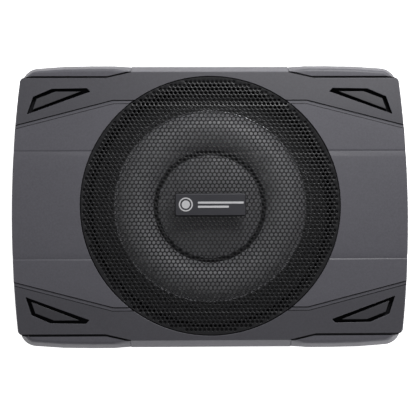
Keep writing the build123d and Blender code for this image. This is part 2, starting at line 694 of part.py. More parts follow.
# the spider is a disc with three round corrugations
wave_start, wave_end = SPIDER_WAVE_R
wave = (wave_end - wave_start) / SPIDER_WAVES
spider_low = [(FORMER_R, SPIDER_Z - 0.3), (wave_start, SPIDER_Z - 0.3)]
for n in range(SPIDER_WAVES):
    spider_low.append((wave_start + wave * (n + 0.5), SPIDER_Z + (1.1 if n % 2 == 0 else -1.3)))
spider_low += [(wave_end + 1.5, SPIDER_Z - 0.6), (57.5, SPIDER_Z - 0.6)]
spider_high = [(r, z + SPIDER_THICK) for r, z in reversed(spider_low)]
with BuildPart() as spider:
    with BuildSketch(Plane.XZ):
        with BuildLine():
            Polyline(*spider_low, *spider_high, close=True)
        make_face()
    revolve(axis=Axis.Z)
save(spider, "spider")

# block in the window on the control side, with a tab for each lead
with BuildPart() as driver_terminal:
    with BuildSketch(Plane.XY.offset(37.4)):
        with Locations((67.9, 0)):
            Rectangle(8.2, 14.4)
    extrude(amount=5.6)
    with BuildSketch(Plane.XY.offset(39.6)):
        with Locations((75.0, 4.8), (75.0, -4.8)):
            Rectangle(6, 4.4)
    extrude(amount=0.8)
save(driver_terminal, "driver_terminal")

# flexible leads from the terminal to the cone
with BuildPart() as tinsel_leads:
    for y in (-5, 5):
        with BuildLine() as route:
            FilletPolyline((63.8, y, 41.2), (50.0, y, 41.2), (38.0, y, 46.2), radius=9.0)
        with BuildSketch(Plane(origin=route.line @ 0, z_dir=route.line % 0)):
            Circle(0.8)
        sweep(path=route.line)
save(tinsel_leads, "tinsel_leads")

# ---------------------------------------------------------------- control panel
def control_end_plate():
    """The panel's face with every cut-out, in Y and Z."""
    with BuildSketch() as face:
        with Locations((0, (PANEL_Z[0] + PANEL_Z[1]) / 2)):
            RectangleRounded(2 * PANEL_HALF, PANEL_Z[1] - PANEL_Z[0], 1.5)
        for y, width, low, high in NOSES.values():
            with Locations((y, (low + high) / 2)):
                Rectangle(width + 2 * CLEARANCE, high - low + 2 * CLEARANCE, mode=Mode.SUBTRACT)
        with Locations(*[(y, RCA_Z) for y in RCA_YS]):
            Circle(RCA_R + 0.4, mode=Mode.SUBTRACT)
        with Locations(*[(y, KNOB_Z) for y in KNOB_YS.values()]):
            Circle(KNOB_R + CLEARANCE, mode=Mode.SUBTRACT)
        with Locations(*[(y, SWITCH_Z) for y in SWITCH_YS.values()]):
            Rectangle(SWITCH_TRAVEL + LEVER + 0.8, LEVER + 0.8, mode=Mode.SUBTRACT)
        with Locations((LED_Y, KNOB_Z)):
            Circle(LED_R + 0.1, mode=Mode.SUBTRACT)
        with Locations(*PANEL_SCREW_YZ):
            Circle(1.4, mode=Mode.SUBTRACT)
    return face.sketch


def board_block(name, back_x, top):
    """Body of a connector: it stands on the main board and its nose goes out through the panel."""
    nose_y, nose_width, nose_low, nose_high = NOSES[name]
    with BuildPart() as block:
        with BuildSketch(Plane.YZ.offset(back_x)):
            with Locations((nose_y, (BOARD_TOP + top) / 2)):
                Rectangle(nose_width, top - BOARD_TOP)
        extrude(amount=FRAME_INNER_X - 0.5 - back_x)
        with BuildSketch(Plane.YZ.offset(FRAME_INNER_X - 0.5)):
            with Locations((nose_y, (nose_low + nose_high) / 2)):
                Rectangle(nose_width, nose_high - nose_low)
        extrude(amount=PANEL_FACE_X + NOSE_OUT - FRAME_INNER_X + 0.5)
    return block.part


with BuildPart() as control_panel:
    with BuildSketch(Plane.YZ.offset(PANEL_FACE_X - PANEL_THICK)):
        add(control_end_plate())
    extrude(amount=PANEL_THICK)
save(control_panel, "control_panel")

with BuildPart() as panel_screws:
    with BuildSketch(Plane.YZ.offset(FRAME_INNER_X + 0.5)):
        with Locations(*PANEL_SCREW_YZ):
            Circle(1.05)
    extrude(amount=PANEL_FACE_X - FRAME_INNER_X - 0.5)
    with BuildSketch(Plane.YZ.offset(PANEL_FACE_X)):
        with Locations(*PANEL_SCREW_YZ):
            Circle(1.75)
            RegularPolygon(0.9, 6, mode=Mode.SUBTRACT)
    extrude(amount=1.2)
save(panel_screws, "panel_screws")

# ---------------------------------------------------------------- amplifier
with BuildPart() as main_board:
    with BuildSketch(Plane.XY.offset(BOARD_Z)):
        with Locations(((BOARD_X[0] + BOARD_X[1]) / 2, 0)):
            Rectangle(BOARD_X[1] - BOARD_X[0], 2 * BOARD_HALF)
        with Locations(*STANDOFF_XY):
            Circle(1.6, mode=Mode.SUBTRACT)
    extrude(amount=BOARD_THICK)
save(main_board, "main_board")

with BuildPart() as board_standoffs:
    with BuildSketch(Plane.XY.offset(BASE_TOP)):
        with Locations(*STANDOFF_XY):
            RegularPolygon(3.2, 6)
            Circle(1.55, mode=Mode.SUBTRACT)
    extrude(amount=BOARD_Z - BASE_TOP)
save(board_standoffs, "board_standoffs")

with BuildPart() as board_screws:
    with BuildSketch(Plane.XY.offset(BASE_TOP + 1)):
        with Locations(*STANDOFF_XY):
            Circle(1.5)
    extrude(amount=BOARD_TOP - BASE_TOP - 1)
    with BuildSketch(Plane.XY.offset(BOARD_TOP)):
        with Locations(*STANDOFF_XY):
            Circle(2.7)
            RegularPolygon(SMALL_KEY_R, 6, mode=Mode.SUBTRACT)
    extrude(amount=1.6)
save(board_screws, "board_screws")

with BuildPart() as heat_sink:
    with BuildSketch(Plane.XZ):
        with BuildLine():
            Polyline(*HEAT_SINK_SECTION, close=True)
        make_face()
    extrude(amount=80, both=True)
    with BuildSketch(Plane.YZ.offset(90)):
        with Locations(*[(y, CLAMP_Z) for y in CLAMP_SCREW_YS]):
            Circle(1.25)
    extrude(amount=12, mode=Mode.SUBTRACT)
save(heat_sink, "heat_sink")

with BuildPart() as power_transistors:
    with BuildSketch(Plane.XY.offset(17)):
        with Locations(*[(101.2, y) for y in TRANSISTOR_YS]):
            Rectangle(4.4, 10)
    extrude(amount=15)
    with BuildSketch(Plane.XY.offset(BOARD_TOP)):
        for y in TRANSISTOR_YS:
            with Locations((101.8, y - 2.5), (101.8, y), (101.8, y + 2.5)):
                Rectangle(0.6, 0.9)
    extrude(amount=17 - BOARD_TOP)
save(power_transistors, "power_transistors")

with BuildPart() as transistor_clamp:
    with BuildSketch(Plane.YZ.offset(103.4)):
        with Locations((0, CLAMP_Z)):
            Rectangle(144, 7)
        with Locations(*[(y, CLAMP_Z) for y in CLAMP_SCREW_YS]):
            Circle(1.6, mode=Mode.SUBTRACT)
    extrude(amount=1.6)
save(transistor_clamp, "transistor_clamp")

with BuildPart() as clamp_screws:
    with BuildSketch(Plane.YZ.offset(95.5)):
        with Locations(*[(y, CLAMP_Z) for y in CLAMP_SCREW_YS]):
            Circle(1.2)
    extrude(amount=9.5)
    with BuildSketch(Plane.YZ.offset(105)):
        with Locations(*[(y, CLAMP_Z) for y in CLAMP_SCREW_YS]):
            Circle(2.6)
            RegularPolygon(SMALL_KEY_R, 6, mode=Mode.SUBTRACT)
    extrude(amount=1.8)
save(clamp_screws, "clamp_screws")

with BuildPart() as filter_capacitors:
    with BuildSketch(Plane.XY.offset(BOARD_TOP)):
        with Locations(*CAPACITOR_XY):
            Circle(8)
    extrude(amount=25)
    fillet(filter_capacitors.edges().filter_by(GeomType.CIRCLE).group_by(Axis.Z)[-1], 0.8)
save(filter_capacitors, "filter_capacitors")

with BuildPart() as transformer:
    with BuildSketch(Plane.XY.offset(BOARD_TOP)):
        with Locations(TRANSFORMER_XY):
            Circle(17)
            Circle(6, mode=Mode.SUBTRACT)
    extrude(amount=15)
    fillet(transformer.edges().filter_by(GeomType.CIRCLE), 3.0)
save(transformer, "transformer")

with BuildPart() as output_inductors:
    with BuildSketch(Plane.XY.offset(BOARD_TOP)):
        with Locations(*INDUCTOR_XY):
            Circle(10)
            Circle(4, mode=Mode.SUBTRACT)
    extrude(amount=9)
    fillet(output_inductors.edges().filter_by(GeomType.CIRCLE), 2.0)
save(output_inductors, "output_inductors")

with BuildPart() as speaker_socket:
    with BuildSketch(Plane.XY.offset(BOARD_TOP)):
        with Locations(SOCKET_XY):
            Rectangle(7, 10)
    extrude(amount=9)
save(speaker_socket, "speaker_socket")

# the driver's two leads run over the heat sink, held at both ends
for name, start, end in (("speaker_lead_positive", 5.0, 13.0), ("speaker_lead_negative", -5.0, 8.0)):
    route_points = [
        (78.3, start, 40.0),
        (88.0, start + 0.2 * (end - start), 40.5),
        (103.0, end - 0.1 * (end - start), 39.5),
        (SOCKET_XY[0], end, 33.0),
        (SOCKET_XY[0], end, BOARD_TOP + 9),
    ]
    with BuildPart() as lead:
        with BuildLine() as lead_route:
            FilletPolyline(*route_points, radius=(8.0, 9.0, 6.0))
        with BuildSketch(Plane(origin=lead_route.line @ 0, z_dir=lead_route.line % 0)):
            Circle(LEAD_R)
        sweep(path=lead_route.line)
    save(lead, name)
    print(f"  lead {sum(edge.length for edge in lead_route.edges()):.1f} mm long, arcs of 8, 9 and 6 mm")

# ---------------------------------------------------------------- connectors
with BuildPart() as power_terminals:
    add(board_block("power_terminals", 143.0, 31.0))
    with BuildSketch(Plane.YZ.offset(150)):
        with Locations(*[(y, WIRE_Z) for y in WIRE_YS]):
            Rectangle(WIRE_SIZE, WIRE_SIZE)
    extrude(amount=THROUGH, mode=Mode.SUBTRACT)
    with BuildSketch(Plane.YZ.offset(159)):
        with Locations(*[(y, TERMINAL_SCREW_Z) for y in WIRE_YS]):
            Circle(2.9)
    extrude(amount=THROUGH, mode=Mode.SUBTRACT)
save(power_terminals, "power_terminals")

with BuildPart() as terminal_screws:
    with BuildSketch(Plane.YZ.offset(159)):
        with Locations(*[(y, TERMINAL_SCREW_Z) for y in WIRE_YS]):
            Circle(2.7)
    extrude(amount=4)
    with BuildSketch(Plane.YZ.offset(162)):
        with Locations(*[(y, TERMINAL_SCREW_Z) for y in WIRE_YS]):
            Rectangle(0.9, 4.4)
    extrude(amount=3, mode=Mode.SUBTRACT)
save(terminal_screws, "terminal_screws")

with BuildPart() as fuse_holder:
    add(board_block("fuse_holder", 148.0, 26.0))
    with BuildSketch(Plane.YZ.offset(152)):
        with Locations(FUSE_YZ):
            Rectangle(FUSE_SIZE[0] + 0.5, FUSE_SIZE[1] + 0.5)
    extrude(amount=THROUGH, mode=Mode.SUBTRACT)
save(fuse_holder, "fuse_holder")

with BuildPart() as blade_fuse:
    with BuildSketch(Plane.YZ.offset(157)):
        with Locations(FUSE_YZ):
            Rectangle(FUSE_SIZE[0], FUSE_SIZE[1])
    extrude(amount=12)
    with BuildSketch(Plane.YZ.offset(152.2)):
        with Locations(*[(FUSE_YZ[0] + s * 6.5, FUSE_YZ[1]) for s in SIGNS]):
            Rectangle(5, 0.7)
    extrude(amount=4.8)
save(blade_fuse, "blade_fuse")

with BuildPart() as high_level_socket:
    add(board_block("high_level_socket", CONNECTOR_X, 25.5))
    with BuildSketch(Plane.YZ.offset(154.6)):
        with Locations((-7, 20.4)):
            Rectangle(12.4, 7.2)
    extrude(amount=THROUGH, mode=Mode.SUBTRACT)
    with BuildSketch(Plane.YZ.offset(154.6)):
        with Locations(*[(y, 17.9) for y in (-11.5, -8.5, -5.5, -2.5)]):
            Rectangle(0.7, 0.7)
    extrude(amount=7)
save(high_level_socket, "high_level_socket")

with BuildPart() as rca_block:
    with BuildSketch(Plane.YZ.offset(CONNECTOR_X)):
        with Locations((sum(RCA_YS) / 2, (BOARD_TOP + RCA_Z + 6) / 2)):
            Rectangle(27, RCA_Z + 6 - BOARD_TOP)
    extrude(amount=FRAME_INNER_X - 0.5 - CONNECTOR_X)
    with BuildSketch(Plane.YZ.offset(FRAME_INNER_X - 0.5)):
        with Locations((sum(RCA_YS) / 2, RCA_Z)):
            Rectangle(27, 12)
    extrude(amount=3.8)
    with BuildSketch(Plane.YZ.offset(RCA_DEEP_X)):
        with Locations(*[(y, RCA_Z) for y in RCA_YS]):
            Circle(RCA_R)
    extrude(amount=10, mode=Mode.SUBTRACT)
save(rca_block, "rca_block")

with BuildPart() as rca_sleeves:
    with BuildSketch(Plane.YZ.offset(RCA_DEEP_X)):
        with Locations(*[(y, RCA_Z) for y in RCA_YS]):
            Circle(RCA_R)
            Circle(RCA_R - 0.7, mode=Mode.SUBTRACT)
    extrude(amount=15)
save(rca_sleeves, "rca_sleeves")

for name, y in zip(("rca_insert_red", "rca_insert_white"), RCA_YS):
    with BuildPart() as insert:
        with BuildSketch(Plane.YZ.offset(RCA_DEEP_X)):
            with Locations((y, RCA_Z)):
                Circle(RCA_R - 0.7)
        extrude(amount=14.4)
        with BuildSketch(Plane.YZ.offset(160)):
            with Locations((y, RCA_Z)):
                Circle(1.65)
        extrude(amount=THROUGH, mode=Mode.SUBTRACT)
    save(insert, name)

with BuildPart() as remote_port:
    add(board_block("remote_port", CONNECTOR_X, 26.0))
    with BuildSketch(Plane.YZ.offset(154)):
        with Locations((39, 20.6)):
            Rectangle(9.4, 6.6)
        with Locations((39, 24.4)):
            Rectangle(5.0, 1.8)
    extrude(amount=THROUGH, mode=Mode.SUBTRACT)
save(remote_port, "remote_port")

# ---------------------------------------------------------------- controls
with BuildPart() as control_board:
    with BuildSketch(Plane.YZ.offset(CONTROL_BOARD_X)):
        with Locations((55.8, (BOARD_TOP + 45.5) / 2)):
            Rectangle(48, 45.5 - BOARD_TOP)
    extrude(amount=BOARD_THICK)
save(control_board, "control_board")

with BuildPart() as potentiometers:
    with BuildSketch(Plane.YZ.offset(CONTROL_X)):
        with Locations(*[(y, KNOB_Z) for y in KNOB_YS.values()]):
            Rectangle(11, 11)
    extrude(amount=7)
    with BuildSketch(Plane.YZ.offset(CONTROL_X + 1.6)):
        with Locations(*[(y, KNOB_Z) for y in KNOB_YS.values()]):
            Circle(SHAFT_R + 0.05)
    extrude(amount=10, mode=Mode.SUBTRACT)
save(potentiometers, "potentiometers")

for name, y in KNOB_YS.items():
    with BuildPart() as knob:
        with BuildSketch(Plane.YZ.offset(CONTROL_X + 2)):
            with Locations((y, KNOB_Z)):
                Circle(SHAFT_R)
        extrude(amount=PANEL_FACE_X - 1 - CONTROL_X - 2)
        with BuildSketch(Plane.YZ.offset(PANEL_FACE_X - 1)):
            with Locations((y, KNOB_Z)):
                Circle(KNOB_R)
        extrude(amount=6)
        chamfer(knob.faces().sort_by(Axis.X)[-1].edges(), 0.5)
        # pointer slot, upright at the middle of the travel, and a fluted grip
        with BuildSketch(Plane.YZ.offset(PANEL_FACE_X + 4.2)):
            with Locations((y, KNOB_Z + 2.4)):
                Rectangle(0.9, 4.0)
        extrude(amount=3, mode=Mode.SUBTRACT)
        with BuildSketch(Plane.YZ.offset(PANEL_FACE_X + 0.6)):
            with Locations((y, KNOB_Z)):
                with PolarLocations(KNOB_R + 0.25, 18, start_angle=10):
                    Circle(0.5)
        extrude(amount=6, mode=Mode.SUBTRACT)
    save(knob, name)

with BuildPart() as slide_switches:
    with BuildSketch(Plane.YZ.offset(CONTROL_X)):
        with Locations(*[(y, SWITCH_Z) for y in SWITCH_YS.values()]):
            Rectangle(12, 6)
    extrude(amount=7)
    with BuildSketch(Plane.YZ.offset(CONTROL_X + 1.8)):
        with Locations(*[(y, SWITCH_Z) for y in SWITCH_YS.values()]):
            Rectangle(SWITCH_TRAVEL + LEVER + 0.4, LEVER + 0.2)
    extrude(amount=10, mode=Mode.SUBTRACT)
save(slide_switches, "slide_switches")

for name, y in SWITCH_YS.items():
    with BuildPart() as lever:
        with BuildSketch(Plane.YZ.offset(CONTROL_X + 2)):
            with Locations((y - SWITCH_TRAVEL / 2, SWITCH_Z)):
                Rectangle(LEVER, LEVER)
        extrude(amount=PANEL_FACE_X + 3 - CONTROL_X - 2)
        chamfer(lever.faces().sort_by(Axis.X)[-1].edges(), 0.4)
    save(lever, f"{name}_lever")

with BuildPart() as power_led:
    with BuildSketch(Plane.YZ.offset(CONTROL_X)):
        with Locations((LED_Y, KNOB_Z)):
            Circle(LED_R)
    extrude(amount=PANEL_FACE_X + 1.2 - CONTROL_X)
    fillet(power_led.edges().group_by(Axis.X)[-1], 1.0)
save(power_led, "power_led")
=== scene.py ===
"""Looks of the under-seat powered subwoofer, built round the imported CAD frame. Metres, +Z up."""

import json
import math

import bmesh
import bpy
from mathutils import Matrix, Vector
from mathutils.geometry import delaunay_2d_cdt

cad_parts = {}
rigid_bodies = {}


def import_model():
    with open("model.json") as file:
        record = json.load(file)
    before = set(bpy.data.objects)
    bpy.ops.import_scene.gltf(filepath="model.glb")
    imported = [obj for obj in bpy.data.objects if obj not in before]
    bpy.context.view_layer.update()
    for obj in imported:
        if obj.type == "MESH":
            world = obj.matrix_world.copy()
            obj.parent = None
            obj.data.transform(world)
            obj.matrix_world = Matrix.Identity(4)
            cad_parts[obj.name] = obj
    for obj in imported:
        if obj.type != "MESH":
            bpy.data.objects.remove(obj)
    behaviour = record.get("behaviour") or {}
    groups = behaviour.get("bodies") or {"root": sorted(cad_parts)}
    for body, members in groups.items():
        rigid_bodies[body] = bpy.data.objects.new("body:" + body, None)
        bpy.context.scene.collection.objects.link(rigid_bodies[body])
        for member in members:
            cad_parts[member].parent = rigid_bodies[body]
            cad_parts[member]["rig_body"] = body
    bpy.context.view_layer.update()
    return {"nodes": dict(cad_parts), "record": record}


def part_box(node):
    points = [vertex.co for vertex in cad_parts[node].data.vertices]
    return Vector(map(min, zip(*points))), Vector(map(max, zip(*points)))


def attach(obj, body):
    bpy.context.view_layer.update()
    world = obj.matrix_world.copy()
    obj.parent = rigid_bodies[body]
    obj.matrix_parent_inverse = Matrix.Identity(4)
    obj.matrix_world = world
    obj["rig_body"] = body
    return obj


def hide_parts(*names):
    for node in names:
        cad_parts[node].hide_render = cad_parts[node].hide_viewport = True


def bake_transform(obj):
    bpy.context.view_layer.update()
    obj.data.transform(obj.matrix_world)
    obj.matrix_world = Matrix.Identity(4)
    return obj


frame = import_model()
MM = 0.001

# ---------------------------------------------------------------- materials
MATERIALS = {}
BLOTCH_SCALE = 35.0                # slow changes of colour; those of gloss are finer
GLOSS_SCALE = 4 * BLOTCH_SCALE
SPECKLE_SCALE = 650.0
BUMP_STRENGTH = 0.5
WORN_FROM, WORN_TO = 0.52, 0.62    # pointiness of an edge that starts to wear, and of a worn one


def node_material(name):
    """A new node material in MATERIALS; gives its tree and its Principled shader."""
    material = bpy.data.materials.new(name)
    material.use_nodes = True
    MATERIALS[name] = material
    return material.node_tree, material.node_tree.nodes["Principled BSDF"]


def noise(tree, scale, detail=4.0, roughness=0.55):
    """Noise in the object's own space, so that it stays on the piece."""
    coords = tree.nodes.new("ShaderNodeTexCoord")
    texture = tree.nodes.new("ShaderNodeTexNoise")
    texture.inputs["Scale"].default_value = scale
    texture.inputs["Detail"].default_value = detail
    texture.inputs["Roughness"].default_value = roughness
    tree.links.new(coords.outputs["Object"], texture.inputs["Vector"])
    return texture.outputs["Fac"]


def ramp(tree, value, low, high, dark, light):
    """Maps value from low..high to the colours dark..light."""
    node = tree.nodes.new("ShaderNodeValToRGB")
    for element, position, colour in zip(node.color_ramp.elements, (low, high), (dark, light)):
        element.position = position
        element.color = (*colour, 1)
    tree.links.new(value, node.inputs["Fac"])
    return node.outputs["Color"]


def remap(tree, value, low, high):
    """Maps a 0..1 value to low..high."""
    node = tree.nodes.new("ShaderNodeMapRange")
    node.inputs["To Min"].default_value = low
    node.inputs["To Max"].default_value = high
    tree.links.new(value, node.inputs["Value"])
    return node.outputs["Result"]


def mixer(tree, colour):
    """A node that mixes a second colour into this one."""
    mix = tree.nodes.new("ShaderNodeMix")
    mix.data_type = "RGBA"
    tree.links.new(colour, mix.inputs["A"])
    return mix


def bump(tree, shader, height, distance):
    """Surface relief from a 0..1 height."""
    node = tree.nodes.new("ShaderNodeBump")
    node.inputs["Strength"].default_value = BUMP_STRENGTH
    node.inputs["Distance"].default_value = distance
    tree.links.new(height, node.inputs["Height"])
    tree.links.new(node.outputs["Normal"], shader.inputs["Normal"])


def worn_edges(tree, colour, light, amount):
    """Lightens the colour on convex edges, where a finish wears first."""
    geometry = tree.nodes.new("ShaderNodeNewGeometry")
    mask = tree.nodes.new("ShaderNodeMapRange")
    mask.inputs["From Min"].default_value = WORN_FROM
    mask.inputs["From Max"].default_value = WORN_TO
    mask.inputs["To Max"].default_value = amount
    tree.links.new(geometry.outputs["Pointiness"], mask.inputs["Value"])
    mix = mixer(tree, colour)
    tree.links.new(mask.outputs["Result"], mix.inputs["Factor"])
    mix.inputs["B"].default_value = (*light, 1)
    return mix.outputs["Result"]


def scaled(colour, factor, offset=0.0):
    """A lighter or darker colour."""
    return tuple(min(1.0, c * factor + offset) for c in colour)


def finish(name, colour, roughness, metallic, grain, depth, mottle, wear, specular=0.5, coat=0.0, speckle=0.0):
    """A finish with fine grain of a depth in mm, slow colour variation, uneven gloss and worn edges."""
    tree, shader = node_material(name)
    base = ramp(tree, noise(tree, BLOTCH_SCALE), 0.3, 0.7, scaled(colour, 1 - mottle), scaled(colour, 1 + mottle))
    if speckle:
        grains = ramp(tree, noise(tree, SPECKLE_SCALE, 8.0, 0.7), 0.35, 0.65,
                      scaled(colour, 1 - speckle), scaled(colour, 1 + speckle))
        mix = mixer(tree, base)
        mix.inputs["Factor"].default_value = 0.5
        tree.links.new(grains, mix.inputs["B"])
        base = mix.outputs["Result"]
    if wear:
        base = worn_edges(tree, base, scaled(colour, 1.9, 0.02), wear)
    tree.links.new(base, shader.inputs["Base Color"])
    tree.links.new(remap(tree, noise(tree, GLOSS_SCALE), *roughness), shader.inputs["Roughness"])
    bump(tree, shader, noise(tree, grain, 6.0, 0.65), depth * MM)
    shader.inputs["Metallic"].default_value = metallic
    shader.inputs["Specular IOR Level"].default_value = specular
    shader.inputs["Coat Weight"].default_value = coat


def cloth_weave(name, colour, scale):
    """Open woven cloth, as a spider is pressed from."""
    tree, shader = node_material(name)
    coords = tree.nodes.new("ShaderNodeTexCoord")
    product = tree.nodes.new("ShaderNodeMath")
    product.operation = "MULTIPLY"
    for number, axis in enumerate(("X", "Y")):
        wave = tree.nodes.new("ShaderNodeTexWave")
        wave.bands_direction = axis
        wave.inputs["Scale"].default_value = scale
        wave.inputs["Distortion"].default_value = 0.4
        tree.links.new(coords.outputs["Object"], wave.inputs["Vector"])
        tree.links.new(wave.outputs["Fac"], product.inputs[number])
    height = product.outputs[0]
    tree.links.new(ramp(tree, height, 0.1, 0.8, scaled(colour, 0.5), colour), shader.inputs["Base Color"])
    bump(tree, shader, height, 0.2 * MM)
    shader.inputs["Roughness"].default_value = 0.9


def led_lens(name, colour):
    """The tinted lens of an unlit power light."""
    tree, shader = node_material(name)
    tint = ramp(tree, noise(tree, 900.0), 0.3, 0.7, scaled(colour, 0.8), colour)
    tree.links.new(tint, shader.inputs["Base Color"])
    bump(tree, shader, noise(tree, 2500.0), 0.01 * MM)
    shader.inputs["Roughness"].default_value = 0.15
    shader.inputs["Transmission Weight"].default_value = 0.35


CASE_COLOUR = (0.085, 0.083, 0.098)
# The pads and the sunken islands of the top get darker copies of the case plastic: painted shade.
PAD_PAINTED_SHADE, ISLAND_PAINTED_SHADE = 0.68, 0.42
for look, shade, gloss in (("case_pad_painted_shade", PAD_PAINTED_SHADE, (0.42, 0.55)), ("case_island_painted_shade", ISLAND_PAINTED_SHADE, (0.45, 0.58)),
                           ("case_plastic", 1.0, (0.42, 0.55))):
    finish(look, scaled(CASE_COLOUR, shade), gloss, 0.0, 2600, 0.05, 0.03, 0.10, speckle=0.22)
# name, colour, range of roughness, metallic, scale of the grain, its depth, mottle, wear
finish("grille_black", (0.0075, 0.0075, 0.009), (0.26, 0.36), 0.0, 2200, 0.012, 0.08, 0.0, specular=0.48)
finish("badge_grey", (0.035, 0.035, 0.042), (0.4, 0.5), 0.2, 3000, 0.015, 0.04, 0.25)
finish("badge_mark", (0.62, 0.62, 0.64), (0.25, 0.35), 0.3, 3000, 0.01, 0.04, 0.1)
finish("base_black", (0.028, 0.028, 0.031), (0.45, 0.6), 0.2, 2400, 0.04, 0.08, 0.2)
finish("rubber_black", (0.024, 0.024, 0.025), (0.45, 0.6), 0.0, 1800, 0.03, 0.12, 0.0)
finish("roll_rubber", (0.39, 0.39, 0.41), (0.34, 0.46), 0.0, 1800, 0.03, 0.10, 0.0, specular=0.7)
# Near black, painted where deep shade lies: in the well under the grille, round the badge and in the valley by the
# cone.
finish("painted_deep_shade", (0.006, 0.006, 0.007), (0.7, 0.85), 0.0, 1500, 0.05, 0.15, 0.0, specular=0.2)
finish("print_grey", (0.50, 0.50, 0.50), (0.4, 0.5), 0.0, 2200, 0.005, 0.06, 0.0)
# Near black, painted on the walls and floors of gaps, trenches and channels as the shade in them.
finish("painted_recess_shade", (0.009, 0.009, 0.011), (0.6, 0.75), 0.0, 2600, 0.05, 0.08, 0.0, specular=0.15)
# Light grey trim, a painted highlight for the bright line at the outer edge of the surround.
finish("painted_highlight_trim", (0.42, 0.42, 0.44), (0.2, 0.3), 0.5, 2200, 0.01, 0.05, 0.1)
finish("screw_black", (0.03, 0.03, 0.033), (0.3, 0.42), 0.8, 3000, 0.015, 0.1, 0.4)
finish("steel", (0.6, 0.6, 0.62), (0.25, 0.42), 1.0, 2600, 0.02, 0.08, 0.1)
finish("basket_black", (0.012, 0.012, 0.013), (0.4, 0.55), 0.2, 2200, 0.03, 0.1, 0.2)
finish("ferrite", (0.035, 0.034, 0.036), (0.5, 0.7), 0.1, 1600, 0.06, 0.15, 0.2)
finish("cone_paper", (0.28, 0.28, 0.297), (0.35, 0.5), 0.0, 1400, 0.08, 0.12, 0.0)
finish("former_film", (0.33, 0.18, 0.05), (0.2, 0.3), 0.0, 2000, 0.01, 0.08, 0.0, coat=0.3)
finish("copper", (0.72, 0.30, 0.13), (0.2, 0.35), 1.0, 2600, 0.03, 0.12, 0.1)
cloth_weave("spider_cloth", (0.55, 0.34, 0.12), 900.0)
finish("trim_grey", (0.015, 0.015, 0.016), (0.4, 0.5), 0.1, 2200, 0.01, 0.05, 0.2)
finish("black_plastic", (0.022, 0.022, 0.024), (0.4, 0.55), 0.0, 2600, 0.03, 0.08, 0.15)
finish("terminal_black", (0.018, 0.018, 0.02), (0.3, 0.45), 0.0, 2600, 0.02, 0.08, 0.2)
finish("board_green", (0.012, 0.10, 0.045), (0.3, 0.45), 0.0, 1200, 0.02, 0.15, 0.0, coat=0.4)
finish("heat_sink_metal", (0.55, 0.56, 0.58), (0.3, 0.45), 1.0, 2400, 0.02, 0.08, 0.1)
finish("capacitor_sleeve", (0.02, 0.02, 0.03), (0.15, 0.25), 0.0, 1500, 0.01, 0.08, 0.1)
finish("transformer_tape", (0.55, 0.40, 0.06), (0.3, 0.45), 0.0, 1200, 0.05, 0.15, 0.0)
finish("lead_red", (0.45, 0.015, 0.015), (0.3, 0.4), 0.0, 1800, 0.02, 0.08, 0.0)
finish("lead_black", (0.02, 0.02, 0.02), (0.3, 0.4), 0.0, 1800, 0.02, 0.08, 0.0)
finish("fuse_amber", (0.70, 0.24, 0.01), (0.15, 0.25), 0.0, 2600, 0.01, 0.06, 0.0, coat=0.4)
finish("plated", (0.80, 0.74, 0.60), (0.10, 0.2), 1.0, 2600, 0.01, 0.05, 0.1)
finish("rca_red", (0.50, 0.015, 0.015), (0.2, 0.3), 0.0, 2200, 0.01, 0.06, 0.1)
finish("rca_white", (0.72, 0.72, 0.69), (0.2, 0.3), 0.0, 2200, 0.01, 0.04, 0.0)
finish("lever_white", (0.60, 0.60, 0.57), (0.35, 0.5), 0.0, 2200, 0.02, 0.05, 0.1)
led_lens("led_blue", (0.15, 0.3, 0.75))

SLOT_OF = {entry["node"]: entry["material_slot"] for entry in frame["record"]["subparts"]}


def dress(piece, look):
    """Gives a piece its first and only material."""
    piece.data.materials.clear()
    piece.data.materials.append(MATERIALS[look])


for node_name, node in frame["nodes"].items():
    dress(node, SLOT_OF[node_name])


# ---------------------------------------------------------------- mesh helpers
def new_piece(name, mesh, body, slot, replaced=(), look=None):
    """A visual piece that rides on a body, in place of CAD nodes; look is a finish other than the slot's."""
    piece = bpy.data.objects.new(name, mesh)
    bpy.context.scene.collection.objects.link(piece)
    dress(piece, look or slot)
    if body:
        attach(piece, body)
    if replaced:
        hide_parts(*replaced)
    return piece


def circle(radius, steps, turn=0.0):
    """Points (x, y) round a circle; turn is the share of a step that the first one is turned by."""
    angles = [2 * math.pi * (k + turn) / steps for k in range(steps)]
    return [(radius * math.cos(a), radius * math.sin(a)) for a in angles]


def ring_verts(shape, points, height):
    """New vertices above (x, y) points."""
    return [shape.verts.new((x, y, height)) for x, y in points]


def join_rings(shape, rings, closed=False, capped=False):
    """Faces between rings of equally many vertices, and on both ends if capped."""
    for low, high in zip(rings, rings[1:] + rings[:1] if closed else rings[1:]):
        for k in range(len(low)):
            n = (k + 1) % len(low)
            shape.faces.new((low[k], low[n], high[n], high[k]))
    if capped:
        shape.faces.new(list(reversed(rings[0])))
        shape.faces.new(rings[-1])


def smooth_mesh(name, shape, degrees, turn_outwards=True):
    """Turns a bmesh into a mesh whose shading is smooth except at edges sharper than degrees."""
    if turn_outwards:
        bmesh.ops.recalc_face_normals(shape, faces=shape.faces)
    mesh = bpy.data.meshes.new(name)
    shape.to_mesh(mesh)
    shape.free()
    mesh.shade_smooth()
    mesh.set_sharp_from_angle(angle=math.radians(degrees))
    return mesh


def turned(name, profile, steps, body, slot, replaced=(), look=None):
    """A ring turned about the Z axis from its closed (radius, height) outline."""
    shape = bmesh.new()
    rings = [ring_verts(shape, circle(radius, steps), height) for radius, height in profile]
    join_rings(shape, rings, closed=True)
    return new_piece(name, smooth_mesh(name, shape, 40), body, slot, replaced, look)


def apply_modifiers(piece):
    """Turns the modified shape into the piece's own mesh."""
    graph = bpy.context.evaluated_depsgraph_get()
    shaped = bpy.data.meshes.new_from_object(piece.evaluated_get(graph))
    piece.modifiers.clear()
    old = piece.data
    piece.data = shaped
    bpy.data.meshes.remove(old)


FLAT_WITHIN, ROUND_FROM = math.radians(0.2), math.radians(35.0)    # angles at the edges of CAD meshes


